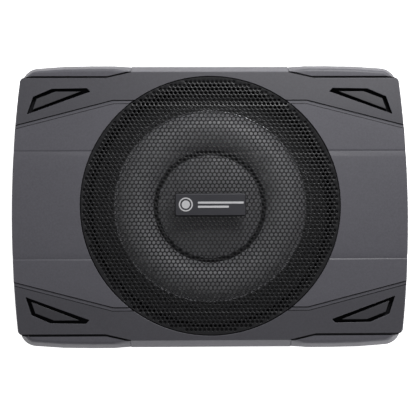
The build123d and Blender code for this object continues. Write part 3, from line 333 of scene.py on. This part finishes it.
def softened(node_name, width, clamp=False, paints=(), reshape=None):
    """A copy of a CAD node with rounded edges, in its place; paints are (finish, test) for its faces."""
    source = frame["nodes"][node_name]
    mesh = bpy.data.meshes.new(f"{node_name}_shell")
    shape = bmesh.new()
    shape.from_mesh(source.data)
    bmesh.ops.remove_doubles(shape, verts=shape.verts, dist=2e-6)
    bmesh.ops.dissolve_limit(shape, angle_limit=FLAT_WITHIN, verts=shape.verts, edges=shape.edges)
    if reshape:
        reshape(shape)
    shape.to_mesh(mesh)
    shape.free()
    if mesh.has_custom_normals:
        mesh.attributes.remove(mesh.attributes["custom_normal"])
    for edge in mesh.edges:
        edge.use_edge_sharp = False
    mesh.shade_smooth()
    piece = new_piece(f"{node_name}_shell", mesh, source["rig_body"], SLOT_OF[node_name], [node_name])
    bevel = piece.modifiers.new("round_edges", "BEVEL")
    bevel.width = width
    bevel.segments = 2
    bevel.limit_method = "ANGLE"
    bevel.angle_limit = ROUND_FROM
    bevel.use_clamp_overlap = clamp
    bevel.loop_slide = True
    bevel.miter_outer = "MITER_ARC"
    even = piece.modifiers.new("even_normals", "WEIGHTED_NORMAL")
    even.weight = 80
    apply_modifiers(piece)
    for number, (look, test) in enumerate(paints, 1):
        piece.data.materials.append(MATERIALS[look])
        for face in piece.data.polygons:
            corners = [piece.data.vertices[v].co / MM for v in face.vertices]
            if test(corners, face.normal):
                face.material_index = number
    return piece


# ---------------------------------------------------------------- case, with sizes in mm
WELL_R = 113.95
CHANNEL = ((0.0, 90.7), (85.0, 90.7), (176.0, 67.1))    # line of a shallow channel, in one quarter of the top
CHANNEL_REACH = 2.3
TOP_FROM = 69.5                                         # height above which the faces of the top lie
POCKET_X, POCKET_Y = (103, 162), (77, 105)              # trenches round the corner islands
ISLAND_X, ISLAND_Y, ISLAND_Z = (112, 156.5), (83, 101), (TOP_FROM, 71.9)
SEAM_X, SEAM_Y, SEAM_Z = (68.0, 168.0), (111.0, 119.2), (59.0, 75.0)


def within(corners, xs, ys, zs=(-1.0, 100.0)):
    """Whether all corners of a face lie in these ranges of |x|, |y| and z."""
    return all(low < value < high for c in corners
               for (low, high), value in ((xs, abs(c.x)), (ys, abs(c.y)), (zs, c.z)))


def in_well(corners, normal):
    """The driver's well and the ledge under the grille, painted near black as the deep shade seen through the
    grille.
    """
    return all(math.hypot(c.x, c.y) < WELL_R for c in corners)


def in_pocket(corners, normal):
    """Walls and floors of the trenches round the corner islands, painted dark as the shade in the trenches."""
    if normal.z < -0.3 or not within(corners, POCKET_X, POCKET_Y):
        return False
    middle = sum(c.z for c in corners) / len(corners)
    return middle < TOP_FROM or (normal.z < 0.7 and middle < 72.2)


def on_island(corners, normal):
    """Tops of the sunken islands in the corner pockets, painted darker as the shade in the pockets."""
    return normal.z > 0.9 and within(corners, ISLAND_X, ISLAND_Y, ISLAND_Z)


def near_channel(corner):
    """Whether a point lies by one of the shallow channels."""
    here = Vector((abs(corner.x), abs(corner.y)))
    for start, end in zip(CHANNEL, CHANNEL[1:]):
        a, b = Vector(start), Vector(end)
        t = min(1.0, max(0.0, (here - a).dot(b - a) / (b - a).length_squared))
        if (here - a - (b - a) * t).length < CHANNEL_REACH:
            return True
    return False


def on_channel_line(corners, normal):
    """Side walls of the shallow channels, painted dark as the shade in the channels, so that they read as thin
    dark lines.
    """
    return -0.5 < normal.z < 0.985 and all(c.z > TOP_FROM and near_channel(c) for c in corners)


def beyond_channel(corners, normal):
    """The top outside the channels, painted a little darker as the shade that falls on the pads."""
    (knee_x, knee_y), (end_x, end_y) = CHANNEL[1:]
    slope = (knee_y - end_y) / (end_x - knee_x)
    return normal.z >= 0.99 and all(
        c.z > TOP_FROM and abs(c.y) >= knee_y + 1.0 - max(0.0, abs(c.x) - knee_x) * slope for c in corners)


def in_seam(facing):
    """A test for the walls of the gap between pads and shoulders, which are painted dark as the shade in the gap;
    facing is 1 for those that look outwards.
    """
    return lambda corners, normal: (
        abs(normal.z) < 0.95 and abs(normal.y) > 0.3 and within(corners, SEAM_X, SEAM_Y, SEAM_Z)
        and all(c.y * normal.y * facing > 0 for c in corners))


# The paints on the cover are painted shade: seam walls, pads, islands, pocket trenches, channel walls and the
# well.
softened("top_cover", 0.35 * MM, paints=[
    ("painted_recess_shade", in_seam(1)), ("case_pad_painted_shade", beyond_channel), ("case_island_painted_shade", on_island),
    ("painted_recess_shade", in_pocket), ("painted_recess_shade", on_channel_line), ("painted_deep_shade", in_well)])

SHOULDER_EDGE_R, SHOULDER_TOP, SHOULDERS_FROM = 2.2, 69.9, 70.0
SINK_CUTS = (84.0, 81.0, 78.0, 75.0, 72.5)       # where the ends are cut across, to bend there
SINK_END = 72.0
BEVEL_START, BEVEL_SLOPE = (117.5, 71.0), 9.0 / 6.3    # the bevel of the middle stretch, from its (y, z) down
BEVEL_FOOT = 60.6
SHOULDER_END = 69.62


def round_shoulder_edge(shape):
    """Rounds the edge between the shoulders' tops and bevels."""
    outer_edge = [edge for edge in shape.edges
                  if all(v.co.z > SHOULDER_TOP * MM and abs(v.co.x) > SHOULDERS_FROM * MM for v in edge.verts)
                  and any(0.3 < face.normal.z < 0.6 for face in edge.link_faces)]
    bmesh.ops.bevel(shape, geom=outer_edge, offset=SHOULDER_EDGE_R * MM, offset_type="OFFSET", segments=4,
                    profile=0.5, affect="EDGES", clamp_overlap=False, loop_slide=True)


def shape_shoulders(shape):
    """Rounds the shoulders and lets their ends run down to the bevel of the middle stretch."""
    round_shoulder_edge(shape)
    for cut in SINK_CUTS:
        for side in (-1, 1):
            everything = shape.verts[:] + shape.edges[:] + shape.faces[:]
            bmesh.ops.bisect_plane(shape, geom=everything, dist=1e-7, plane_co=(side * cut * MM, 0, 0),
                                   plane_no=(1, 0, 0))
    for vert in shape.verts:
        x, y, z = abs(vert.co.x) / MM, abs(vert.co.y) / MM, vert.co.z / MM
        if 69.0 < x < SINK_CUTS[0] - 0.1 and y > 112.0 and z > 60.5:
            t = min(1.0, (SINK_CUTS[0] - x) / (SINK_CUTS[0] - SINK_END))
            bevel_z = max(BEVEL_FOOT, BEVEL_START[1] - max(0.0, y - BEVEL_START[0]) * BEVEL_SLOPE)
            vert.co.z = (z + (min(z, bevel_z) - z) * t * t * (3 - 2 * t)) * MM
    for vert in shape.verts:
        x, y, z = abs(vert.co.x) / MM, abs(vert.co.y) / MM, vert.co.z / MM
        if x < SINK_END and y > 117.6 and z > 60.0:
            vert.co.x = math.copysign(SHOULDER_END * MM, vert.co.x)


# The housing's walls of the seam gap are painted dark, as the shade in the gap.
softened("lower_housing", 0.45 * MM, reshape=shape_shoulders, paints=[("painted_recess_shade", in_seam(-1))])

SMALL_EDGES = {
    "base_plate": 0.3, "control_panel": 0.15, "rubber_feet": 0.4, "power_terminals": 0.2, "fuse_holder": 0.15,
    "blade_fuse": 0.3, "high_level_socket": 0.12, "remote_port": 0.12, "rca_block": 0.3, "gain_knob": 0.12,
    "low_pass_knob": 0.12, "bass_knob": 0.12, "phase_lever": 0.12, "auto_on_lever": 0.12, "heat_sink": 0.3,
    "filter_capacitors": 0.3}
for small_piece, edge_width in SMALL_EDGES.items():
    softened(small_piece, edge_width * MM, clamp=True)

# ---------------------------------------------------------------- perforated grille
GRILLE_LOW, GRILLE_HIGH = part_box("grille")
GRILLE_R = (GRILLE_HIGH.x - GRILLE_LOW.x) / 2
SHEET = 1.0 * MM
HOLE_PITCH, HOLE_R, HOLE_SIDES = 3.8 * MM, 1.47 * MM, 9
HOLE_LIP, LIP_DROP = 0.16 * MM, 0.09 * MM    # how far a hole's chamfer reaches out and down
RIM, RIM_STEPS = 0.5 * MM, 240
# (y, how far the skin lies below the middle) in mm: flat, then a crease at 47.2, then falling to the long sides
SKIN_DROPS = ((0, 0), (12, 0), (28, 0.12), (42, 0.4), (47.2, 0.75), (50.0, 0.58), (89.0, 1.1), (117.5, 2.4))
CHANNEL_HALF, CHANNEL_SLOPE, CHANNEL_DEPTH = 1.2, 2.4, 0.4


def skin_height(y):
    """Height of the grille's top face across the case, with the channels that run on from the cover."""
    y = abs(y) / MM
    for (near, near_drop), (far, far_drop) in zip(SKIN_DROPS, SKIN_DROPS[1:]):
        if y <= far:
            drop = near_drop + (far_drop - near_drop) * (y - near) / (far - near)
            break
    side = abs(y - CHANNEL[0][1]) - CHANNEL_HALF
    drop += CHANNEL_DEPTH * min(1.0, max(0.0, 1 - side / CHANNEL_SLOPE))
    return GRILLE_HIGH.z - drop * MM


def hole_centres():
    """Hexagonal pattern, rows along X, as far out as the plain rim."""
    row_pitch = HOLE_PITCH * math.sqrt(3) / 2
    reach = GRILLE_R - RIM - HOLE_R
    rows = int(reach / row_pitch) + 1
    columns = int(reach / HOLE_PITCH) + 2
    places = []
    for row in range(-rows, rows + 1):
        shift = HOLE_PITCH / 2 if row % 2 else 0.0
        for column in range(-columns, columns + 1):
            x, y = column * HOLE_PITCH + shift, row * row_pitch
            if math.hypot(x, y) <= reach:
                places.append((x, y))
    return places


def perforated_grille():
    """A pressed sheet with chamfered holes; every hole's edge is one ring in a flat triangulation."""
    points, edges, owner = [], [], []

    def add_ring(ring, owners):
        first = len(points)
        points.extend(ring)
        edges.extend((first + k, first + (k + 1) % len(ring)) for k in range(len(ring)))
        owner.extend(owners)

    centres = hole_centres()
    for number, (x, y) in enumerate(centres):
        ring = [Vector((x + dx, y + dy)) for dx, dy in circle(HOLE_R + HOLE_LIP, HOLE_SIDES, 0.5)]
        add_ring(ring, [number] * HOLE_SIDES)
    add_ring([Vector(point) for point in circle(GRILLE_R, RIM_STEPS)], [-1 - k for k in range(RIM_STEPS)])
    flat = delaunay_2d_cdt(points, edges, [], 0, 1e-9)
    places, triangles, origins = flat[0], flat[2], flat[3]
    owner = [owner[ids[0]] for ids in origins]
    shape = bmesh.new()
    top, lip, foot = [], [], []
    for place, number in zip(places, owner):
        inner = place
        if number >= 0:
            centre = Vector(centres[number])
            inner = centre + (place - centre) * (HOLE_R / (HOLE_R + HOLE_LIP))
        top.append(shape.verts.new((place.x, place.y, skin_height(place.y))))
        lip.append(shape.verts.new((inner.x, inner.y, skin_height(inner.y) - LIP_DROP)))
        foot.append(shape.verts.new((inner.x, inner.y, skin_height(inner.y) - SHEET)))
    links = {}
    for triangle in triangles:
        if len({owner[i] for i in triangle}) == 1:
            continue
        shape.faces.new([top[i] for i in triangle])
        shape.faces.new([foot[i] for i in reversed(triangle)])
        for i, j in zip(triangle, triangle[1:] + triangle[:1]):
            links[(i, j)] = True
    for i, j in links:
        if (j, i) not in links:
            shape.faces.new([top[j], top[i], lip[i], lip[j]])
            shape.faces.new([lip[j], lip[i], foot[i], foot[j]])
    mesh = smooth_mesh("grille_mesh", shape, 40, turn_outwards=False)
    return new_piece("grille_mesh", mesh, "case", "grille_black", ["grille"])


perforated_grille()

# ---------------------------------------------------------------- badge, with a plain ring-and-bars mark
BADGE_LOW, BADGE_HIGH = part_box("badge")
BADGE_HALF_X, BADGE_HALF_Y = (BADGE_HIGH.x - BADGE_LOW.x) / 2, (BADGE_HIGH.y - BADGE_LOW.y) / 2
BADGE_CORNER_R = 1.2 * MM
WALL_DROP, FACE_DROP, MARK_DROP = 0.75 * MM, 0.32 * MM, 0.02 * MM    # below the badge's top
RAISED_EDGE = ((0.12, 0.45), (0.4, 0.28), (0.7, 0.25), (0.78, 0.32))  # (inset, drop) in mm, from wall to face
MARK_ROOT = 0.1 * MM
RING_X, RING_R, DOT_R, RING_STEPS = -21.5 * MM, (6.1 * MM, 5.0 * MM), 3.6 * MM, 48
BARS = ((-11.0, 40.0, 1.6), (-11.0, 27.0, -2.0))                      # (left end, length, y) in mm
BAR_HALF, BAR_CORNER_R = 0.9 * MM, 0.5 * MM


def rounded_outline(half_x, half_y, radius, steps=6):
    """Corners of a rounded rectangle, going round."""
    points = []
    for turn, (sx, sy) in enumerate(((1, 1), (-1, 1), (-1, -1), (1, -1))):
        for k in range(steps + 1):
            a = math.pi / 2 * (turn + k / steps)
            points.append((sx * (half_x - radius) + radius * math.cos(a),
                           sy * (half_y - radius) + radius * math.sin(a)))
    return points


def badge_piece(name, layers, replaced=(), look=None):
    """A solid built up from outlines with the same number of points, as (points, z) from the bottom."""
    shape = bmesh.new()
    join_rings(shape, [ring_verts(shape, points, z) for points, z in layers], capped=True)
    return new_piece(name, smooth_mesh(name, shape, 30), "case", "badge_grey", replaced, look)


def badge_plate():
    """The plate with its raised edge, and a near-black plate under it, a little larger, that paints the shadow
    round the badge.
    """
    outline = rounded_outline(BADGE_HALF_X, BADGE_HALF_Y, BADGE_CORNER_R)
    layers = [(outline, BADGE_LOW.z), (outline, BADGE_HIGH.z - WALL_DROP)]
    for inset, drop in RAISED_EDGE:
        edge = rounded_outline(BADGE_HALF_X - inset * MM, BADGE_HALF_Y - inset * MM,
                               BADGE_CORNER_R - inset / 2 * MM)
        layers.append((edge, BADGE_HIGH.z - drop * MM))
    badge_piece("badge_plate", layers, ["badge"])
    # The near-black plate under the badge is a painted shadow round its edge.
    foot = rounded_outline(BADGE_HALF_X + 0.8 * MM, BADGE_HALF_Y + 0.8 * MM, 1.6 * MM)
    badge_piece("badge_shadow_plate", [(foot, BADGE_LOW.z - 0.4 * MM), (foot, BADGE_LOW.z + 0.5 * MM)], look="painted_deep_shade")


def badge_mark():
    """A ring round a dot, and two bars."""
    low, high = BADGE_HIGH.z - FACE_DROP - MARK_ROOT, BADGE_HIGH.z - MARK_DROP
    shape = bmesh.new()

    def loop(radius, height):
        return ring_verts(shape, [(RING_X + x, y) for x, y in circle(radius, RING_STEPS)], height)

    outer, inner = RING_R
    join_rings(shape, [loop(outer, low), loop(outer, high), loop(inner, high), loop(inner, low)], closed=True)
    join_rings(shape, [loop(DOT_R, low), loop(DOT_R, high)], capped=True)
    new_piece("badge_ring", smooth_mesh("badge_ring", shape, 30), "case", "badge_grey", look="badge_mark")
    for number, (left, length, bar_y) in enumerate(BARS, 1):
        points = [(x + (left + length / 2) * MM, y + bar_y * MM)
                  for x, y in rounded_outline(length / 2 * MM, BAR_HALF, BAR_CORNER_R)]
        badge_piece(f"badge_bar_{number}", [(points, low), (points, high)], look="badge_mark")


badge_plate()
badge_mark()

# ---------------------------------------------------------------- printing on the control panel, with sizes in mm
PANEL_X = 164.0
PRINT_X = (PANEL_X - 0.03, PANEL_X + 0.05)
LINE, THICK_LINE, SIGN_LINE = 0.3, 0.35, 0.5
KNOB_YS, KNOB_Z = (46.0, 60.0, 74.0), 38.0
SWITCH_YS, SWITCH_ZS = (57.0, 72.0), (24.4, 16.6)
SIGN_Z, SIGNS = 34.5, ((-71.0, True), (-49.0, False))     # y of the plus and of the minus
GROUPS = ((-79.5, -41.0, 38.5), (-39.5, -18.5, 30.0), (-15.5, 31.0, 34.5))    # (left, right, z) of the brackets
SOCKET_YS, SOCKET_Z, SOCKET_RING_R, SOCKET_STEPS = (10.0, 24.0), 25.0, 5.6, 24


def print_bar(shape, y, z, length, width, angle):
    """One printed stroke on the panel's face, a hair proud of it."""
    along = Vector((0, math.cos(angle), math.sin(angle))) * length / 2
    over = Vector((0, -math.sin(angle), math.cos(angle))) * width / 2
    corners = [-along - over, along - over, along + over, -along + over]
    low, high = [[shape.verts.new((Vector((x, y, z)) + c) * MM) for c in corners] for x in PRINT_X]
    join_rings(shape, [low, high])
    shape.faces.new(high)
    shape.faces.new(list(reversed(low)))


def panel_print():
    """Dial ticks, switch marks, polarity signs, brackets over the groups and rings round the sockets."""
    shape = bmesh.new()
    for y in KNOB_YS:
        for step in range(11):
            a = math.radians(30 * step - 60)
            reach, size = (6.1, 1.3) if step % 5 == 0 else (5.9, 0.9)
            print_bar(shape, y + reach * math.cos(a), KNOB_Z + reach * math.sin(a), size, LINE, a)
    for y in SWITCH_YS:
        for side in (-1, 1):
            for z in SWITCH_ZS:
                print_bar(shape, y + 2.0 * side, z, 1.6, LINE, math.pi / 2)
        print_bar(shape, y, 15.4, 7.5, LINE, 0)
    for y, upright in SIGNS:
        print_bar(shape, y, SIGN_Z, 2.8, SIGN_LINE, 0)
        if upright:
            print_bar(shape, y, SIGN_Z, 2.8, SIGN_LINE, math.pi / 2)
    for left, right, z in GROUPS:
        print_bar(shape, (left + right) / 2, z, right - left, THICK_LINE, 0)
        for y in (left, right):
            print_bar(shape, y, z - 1.2, 2.4, THICK_LINE, math.pi / 2)
    for y in SOCKET_YS:
        for step in range(SOCKET_STEPS):
            a = 2 * math.pi * step / SOCKET_STEPS
            print_bar(shape, y + SOCKET_RING_R * math.cos(a), SOCKET_Z + SOCKET_RING_R * math.sin(a), 1.5, LINE,
                      a + math.pi / 2)
    mesh = bpy.data.meshes.new("panel_print")
    shape.to_mesh(mesh)
    shape.free()
    new_piece("panel_print", mesh, "case", "base_black", look="print_grey")


panel_print()

# ---------------------------------------------------------------- driver: the surround, a ring of painted shade by the cone, and a trim bead with a painted highlight
ROLL_R, ROLL_HALF, ROLL_TOP, FLANGE_Z = 67.0 * MM, 17.0 * MM, 65.8 * MM, 56.3 * MM
RUBBER = 0.9 * MM
ROLL_FOOT = FLANGE_Z + RUBBER
FLANGE_OUTER_R, FLANGE_INNER_R, FLANGE_ROUND = 90.0 * MM, 46.2 * MM, 0.4 * MM
ROLL_STEPS, CROWDING = 28, 1.6    # crowding brings the steps closer together towards the crown
TRIM = ((84.2, 57.3), (84.2, 58.5), (84.35, 58.8), (84.65, 58.9), (84.95, 58.8), (85.1, 58.5), (85.1, 57.3))
# (r, z) outline of a near-black ring in the valley between cone and surround: painted shade.
VALLEY_SHADE_RING = ((45.9, 57.0), (45.9, 57.42), (46.4, 57.5), (49.3, 57.5), (49.9, 57.42), (49.9, 57.0))


def in_metres(outline):
    return [(r * MM, z * MM) for r, z in outline]


def roll_section(side):
    """Closed outline of one half of the surround, from its crown to its foot, as (r, z)."""
    rise = ROLL_TOP - ROLL_FOOT
    radius = (ROLL_HALF ** 2 + rise ** 2) / (2 * rise)
    reach = math.asin(ROLL_HALF / radius)
    under = radius - RUBBER
    outside, inside = [], []
    for k in range(ROLL_STEPS + 1):
        a = reach * (k / ROLL_STEPS) ** CROWDING
        outside.append((ROLL_R + side * radius * math.sin(a), ROLL_TOP - radius * (1 - math.cos(a))))
        inside.append((ROLL_R + side * under * math.sin(a), ROLL_TOP - RUBBER - under * (1 - math.cos(a))))
    inside = [point for point in inside if point[1] > FLANGE_Z + 0.05 * MM]
    edge = FLANGE_OUTER_R if side > 0 else FLANGE_INNER_R
    outside += [(edge - side * FLANGE_ROUND, ROLL_FOOT), (edge, ROLL_FOOT - FLANGE_ROUND), (edge, FLANGE_Z)]
    return outside + list(reversed(inside))


def surround_half(name, side):
    """One half of the roll, which meets the other half at its crown."""
    half = turned(name, roll_section(side), 160, None, "rubber_black", ["surround"], look="roll_rubber")
    if side > 0:
        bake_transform(half)
    else:
        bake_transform(half)


surround_half("surround_outer", 1)
# The bead's light grey is a painted highlight: the bright line on the outer edge of the surround.
turned("trim_bead", in_metres(TRIM), 180, "case", "trim_grey", look="painted_highlight_trim")
surround_half("surround_inner", -1)
# A near-black ring in the valley between cone and surround: painted shade.
turned("valley_shade_ring", in_metres(VALLEY_SHADE_RING), 160, "cone_assembly", "rubber_black", look="painted_deep_shade")

# ---------------------------------------------------------------- driver: the spider, with sizes in mm
SPIDER_SECTORS, SPIDER_STEPS, SECTOR_STEPS = 12, 64, 8
SPIDER_INNER_R, SPIDER_OUTER_R = 25.3, 57.5
WAVE_START_R, WAVE_END_R, WAVES, WAVE_HEIGHT = 29.0, 47.5, 3, 1.2
SPIDER_Z, CLOTH_HALF = 38.0, 0.3
RIM_DROP, RIM_RAMP = 0.3, 1.5     # the glued rim lies lower, past a short ramp


def spider_height(r):
    """Middle of the cloth at a radius."""
    if r >= WAVE_END_R:
        return SPIDER_Z - RIM_DROP * min(1.0, (r - WAVE_END_R) / RIM_RAMP)
    if r <= WAVE_START_R:
        return SPIDER_Z
    share = (r - WAVE_START_R) / (WAVE_END_R - WAVE_START_R)
    return SPIDER_Z + WAVE_HEIGHT * math.sin(share * WAVES * 2 * math.pi)


def spider_sector(number):
    """One sector of the corrugated spider, laid out round its own middle radius."""
    middle = 2 * math.pi * number / SPIDER_SECTORS
    shape = bmesh.new()
    layers = []
    for lift in (CLOTH_HALF, -CLOTH_HALF):
        grid = []
        for i in range(SPIDER_STEPS + 1):
            r = SPIDER_INNER_R + (SPIDER_OUTER_R - SPIDER_INNER_R) * i / SPIDER_STEPS
            angles = [middle + math.pi / SPIDER_SECTORS * (2 * j / SECTOR_STEPS - 1)
                      for j in range(SECTOR_STEPS + 1)]
            arc = [(r * MM * math.cos(a), r * MM * math.sin(a)) for a in angles]
            grid.append(ring_verts(shape, arc, (spider_height(r) + lift) * MM))
        layers.append(grid)
    top, low = layers
    for i in range(SPIDER_STEPS):
        for j in range(SECTOR_STEPS):
            shape.faces.new((top[i][j], top[i + 1][j], top[i + 1][j + 1], top[i][j + 1]))
            shape.faces.new((low[i][j], low[i][j + 1], low[i + 1][j + 1], low[i + 1][j]))
        for j in (0, SECTOR_STEPS):
            shape.faces.new((top[i][j], top[i + 1][j], low[i + 1][j], low[i][j]))
    for i in (0, SPIDER_STEPS):
        for j in range(SECTOR_STEPS):
            shape.faces.new((top[i][j], top[i][j + 1], low[i][j + 1], low[i][j]))
    name = f"spider_sector_{number + 1}"
    piece = new_piece(name, smooth_mesh(name, shape, 40), None, "spider_cloth", ["spider"])
    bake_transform(piece)


for sector in range(SPIDER_SECTORS):
    spider_sector(sector)

# ---------------------------------------------------------------- driver: the tinsel leads
LEAD_R, LEAD_SIDES, LEAD_STEPS = 0.8 * MM, 10, 64
LEAD_YS = {"tinsel_lead_a": 5.0, "tinsel_lead_b": -5.0}    # in mm, as the rest
LEAD_XS, LEAD_Z = (63.8, 38.0), 41.2                       # from the terminals to the cone
LEAD_RISE, RISE_START, RISE_RUN = 5.0, 54.0, 16.0
TWIST = 0.93                                               # girth of every other ring, as in a twisted lead


def tinsel_lead(name, y):
    """A thin twisted lead that bends up to the cone."""
    path = []
    for k in range(LEAD_STEPS + 1):
        x = LEAD_XS[0] + (LEAD_XS[1] - LEAD_XS[0]) * k / LEAD_STEPS
        t = min(1.0, max(0.0, (RISE_START - x) / RISE_RUN))
        path.append(Vector((x, y, LEAD_Z + LEAD_RISE * t * t)) * MM)
    shape = bmesh.new()
    rings = []
    for k, place in enumerate(path):
        ahead = (path[min(k + 1, LEAD_STEPS)] - path[max(k - 1, 0)]).normalized()
        side = ahead.cross(Vector((0, 1, 0))).normalized()
        over = ahead.cross(side)
        girth = LEAD_R * (1.0 if k % 2 else TWIST)
        rings.append([shape.verts.new(place + side * a + over * b) for a, b in circle(girth, LEAD_SIDES)])
    join_rings(shape, rings, capped=True)
    lead = new_piece(name, smooth_mesh(name, shape, 45), None, "copper", ["tinsel_leads"])
    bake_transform(lead)


for lead_name, lead_y in LEAD_YS.items():
    tinsel_lead(lead_name, lead_y)

# ---------------------------------------------------------------- stage, light and camera
FLOOR_REACH, FLOOR_Z = 60.0, -0.3 * MM
# name, place, aim, (width, height), watts
LIGHTS = (("key", (0.22, 0.62, 0.62), (0.03, 0.0, 0.05), (0.45, 0.4), 6.9),
          ("low", (0.68, -0.6, 0.16), (0.08, -0.1, 0.05), (0.4, 0.14), 3.2),
          ("left", (-0.9, 0.1, 0.5), (0.0, 0.0, 0.05), (0.5, 0.5), 1.0))
WORLD_STRENGTH = 0.26
CAMERA_DISTANCE, CAMERA_AIM = 1.0, Vector((-0.0003, -0.0042, 0.066))
TILT, YAW, ROLL = math.radians(4.2), math.radians(1.0), math.radians(0.25)


def pale_floor():
    """A wide floor, lit well enough to look white."""
    mesh = bpy.data.meshes.new("studio_floor")
    shape = bmesh.new()
    bmesh.ops.create_grid(shape, x_segments=8, y_segments=8, size=FLOOR_REACH)
    shape.to_mesh(mesh)
    shape.free()
    floor = bpy.data.objects.new("studio_floor", mesh)
    floor.location.z = FLOOR_Z
    bpy.context.scene.collection.objects.link(floor)
    tree, shader = node_material("studio_floor")
    tree.links.new(ramp(tree, noise(tree, 3.0), 0.3, 0.7, (0.90, 0.90, 0.90), (0.93, 0.93, 0.93)),
                   shader.inputs["Base Color"])
    shader.inputs["Roughness"].default_value = 0.9
    shader.inputs["Emission Color"].default_value = (1, 1, 1, 1)
    shader.inputs["Emission Strength"].default_value = 0.95
    dress(floor, "studio_floor")


def area_light(name, place, aim, size, watts):
    """A rectangular lamp that faces aim."""
    data = bpy.data.lights.new(name, "AREA")
    data.shape = "RECTANGLE"
    data.size, data.size_y = size
    data.energy = watts
    lamp = bpy.data.objects.new(name, data)
    lamp.location = place
    lamp.rotation_euler = (Vector(aim) - Vector(place)).to_track_quat("-Z", "Y").to_euler()
    bpy.context.scene.collection.objects.link(lamp)


def plain_world():
    """Even white light from all sides."""
    world = bpy.data.worlds.new("studio")
    world.use_nodes = True
    background = world.node_tree.nodes["Background"]
    background.inputs["Color"].default_value = (1, 1, 1, 1)
    background.inputs["Strength"].default_value = WORLD_STRENGTH
    bpy.context.scene.world = world


def overhead_camera():
    """A long lens almost straight above the grille."""
    data = bpy.data.cameras.new("camera")
    data.sensor_width = 36.0
    data.lens = 97.6
    data.clip_start = 0.01
    camera = bpy.data.objects.new("camera", data)
    bpy.context.scene.collection.objects.link(camera)
    away = Vector((-math.sin(YAW), -math.sin(TILT), 1)).normalized()
    up = Matrix.Rotation(-ROLL, 3, "Z") @ Vector((0, 1, 0))
    across = up.cross(away).normalized()
    camera.location = CAMERA_AIM + away * CAMERA_DISTANCE
    camera.rotation_euler = Matrix((across, away.cross(across), away)).transposed().to_euler()
    bpy.context.scene.camera = camera


pale_floor()
for light in LIGHTS:
    area_light(*light)
plain_world()
bpy.context.scene.view_settings.view_transform = "Standard"
overhead_camera()
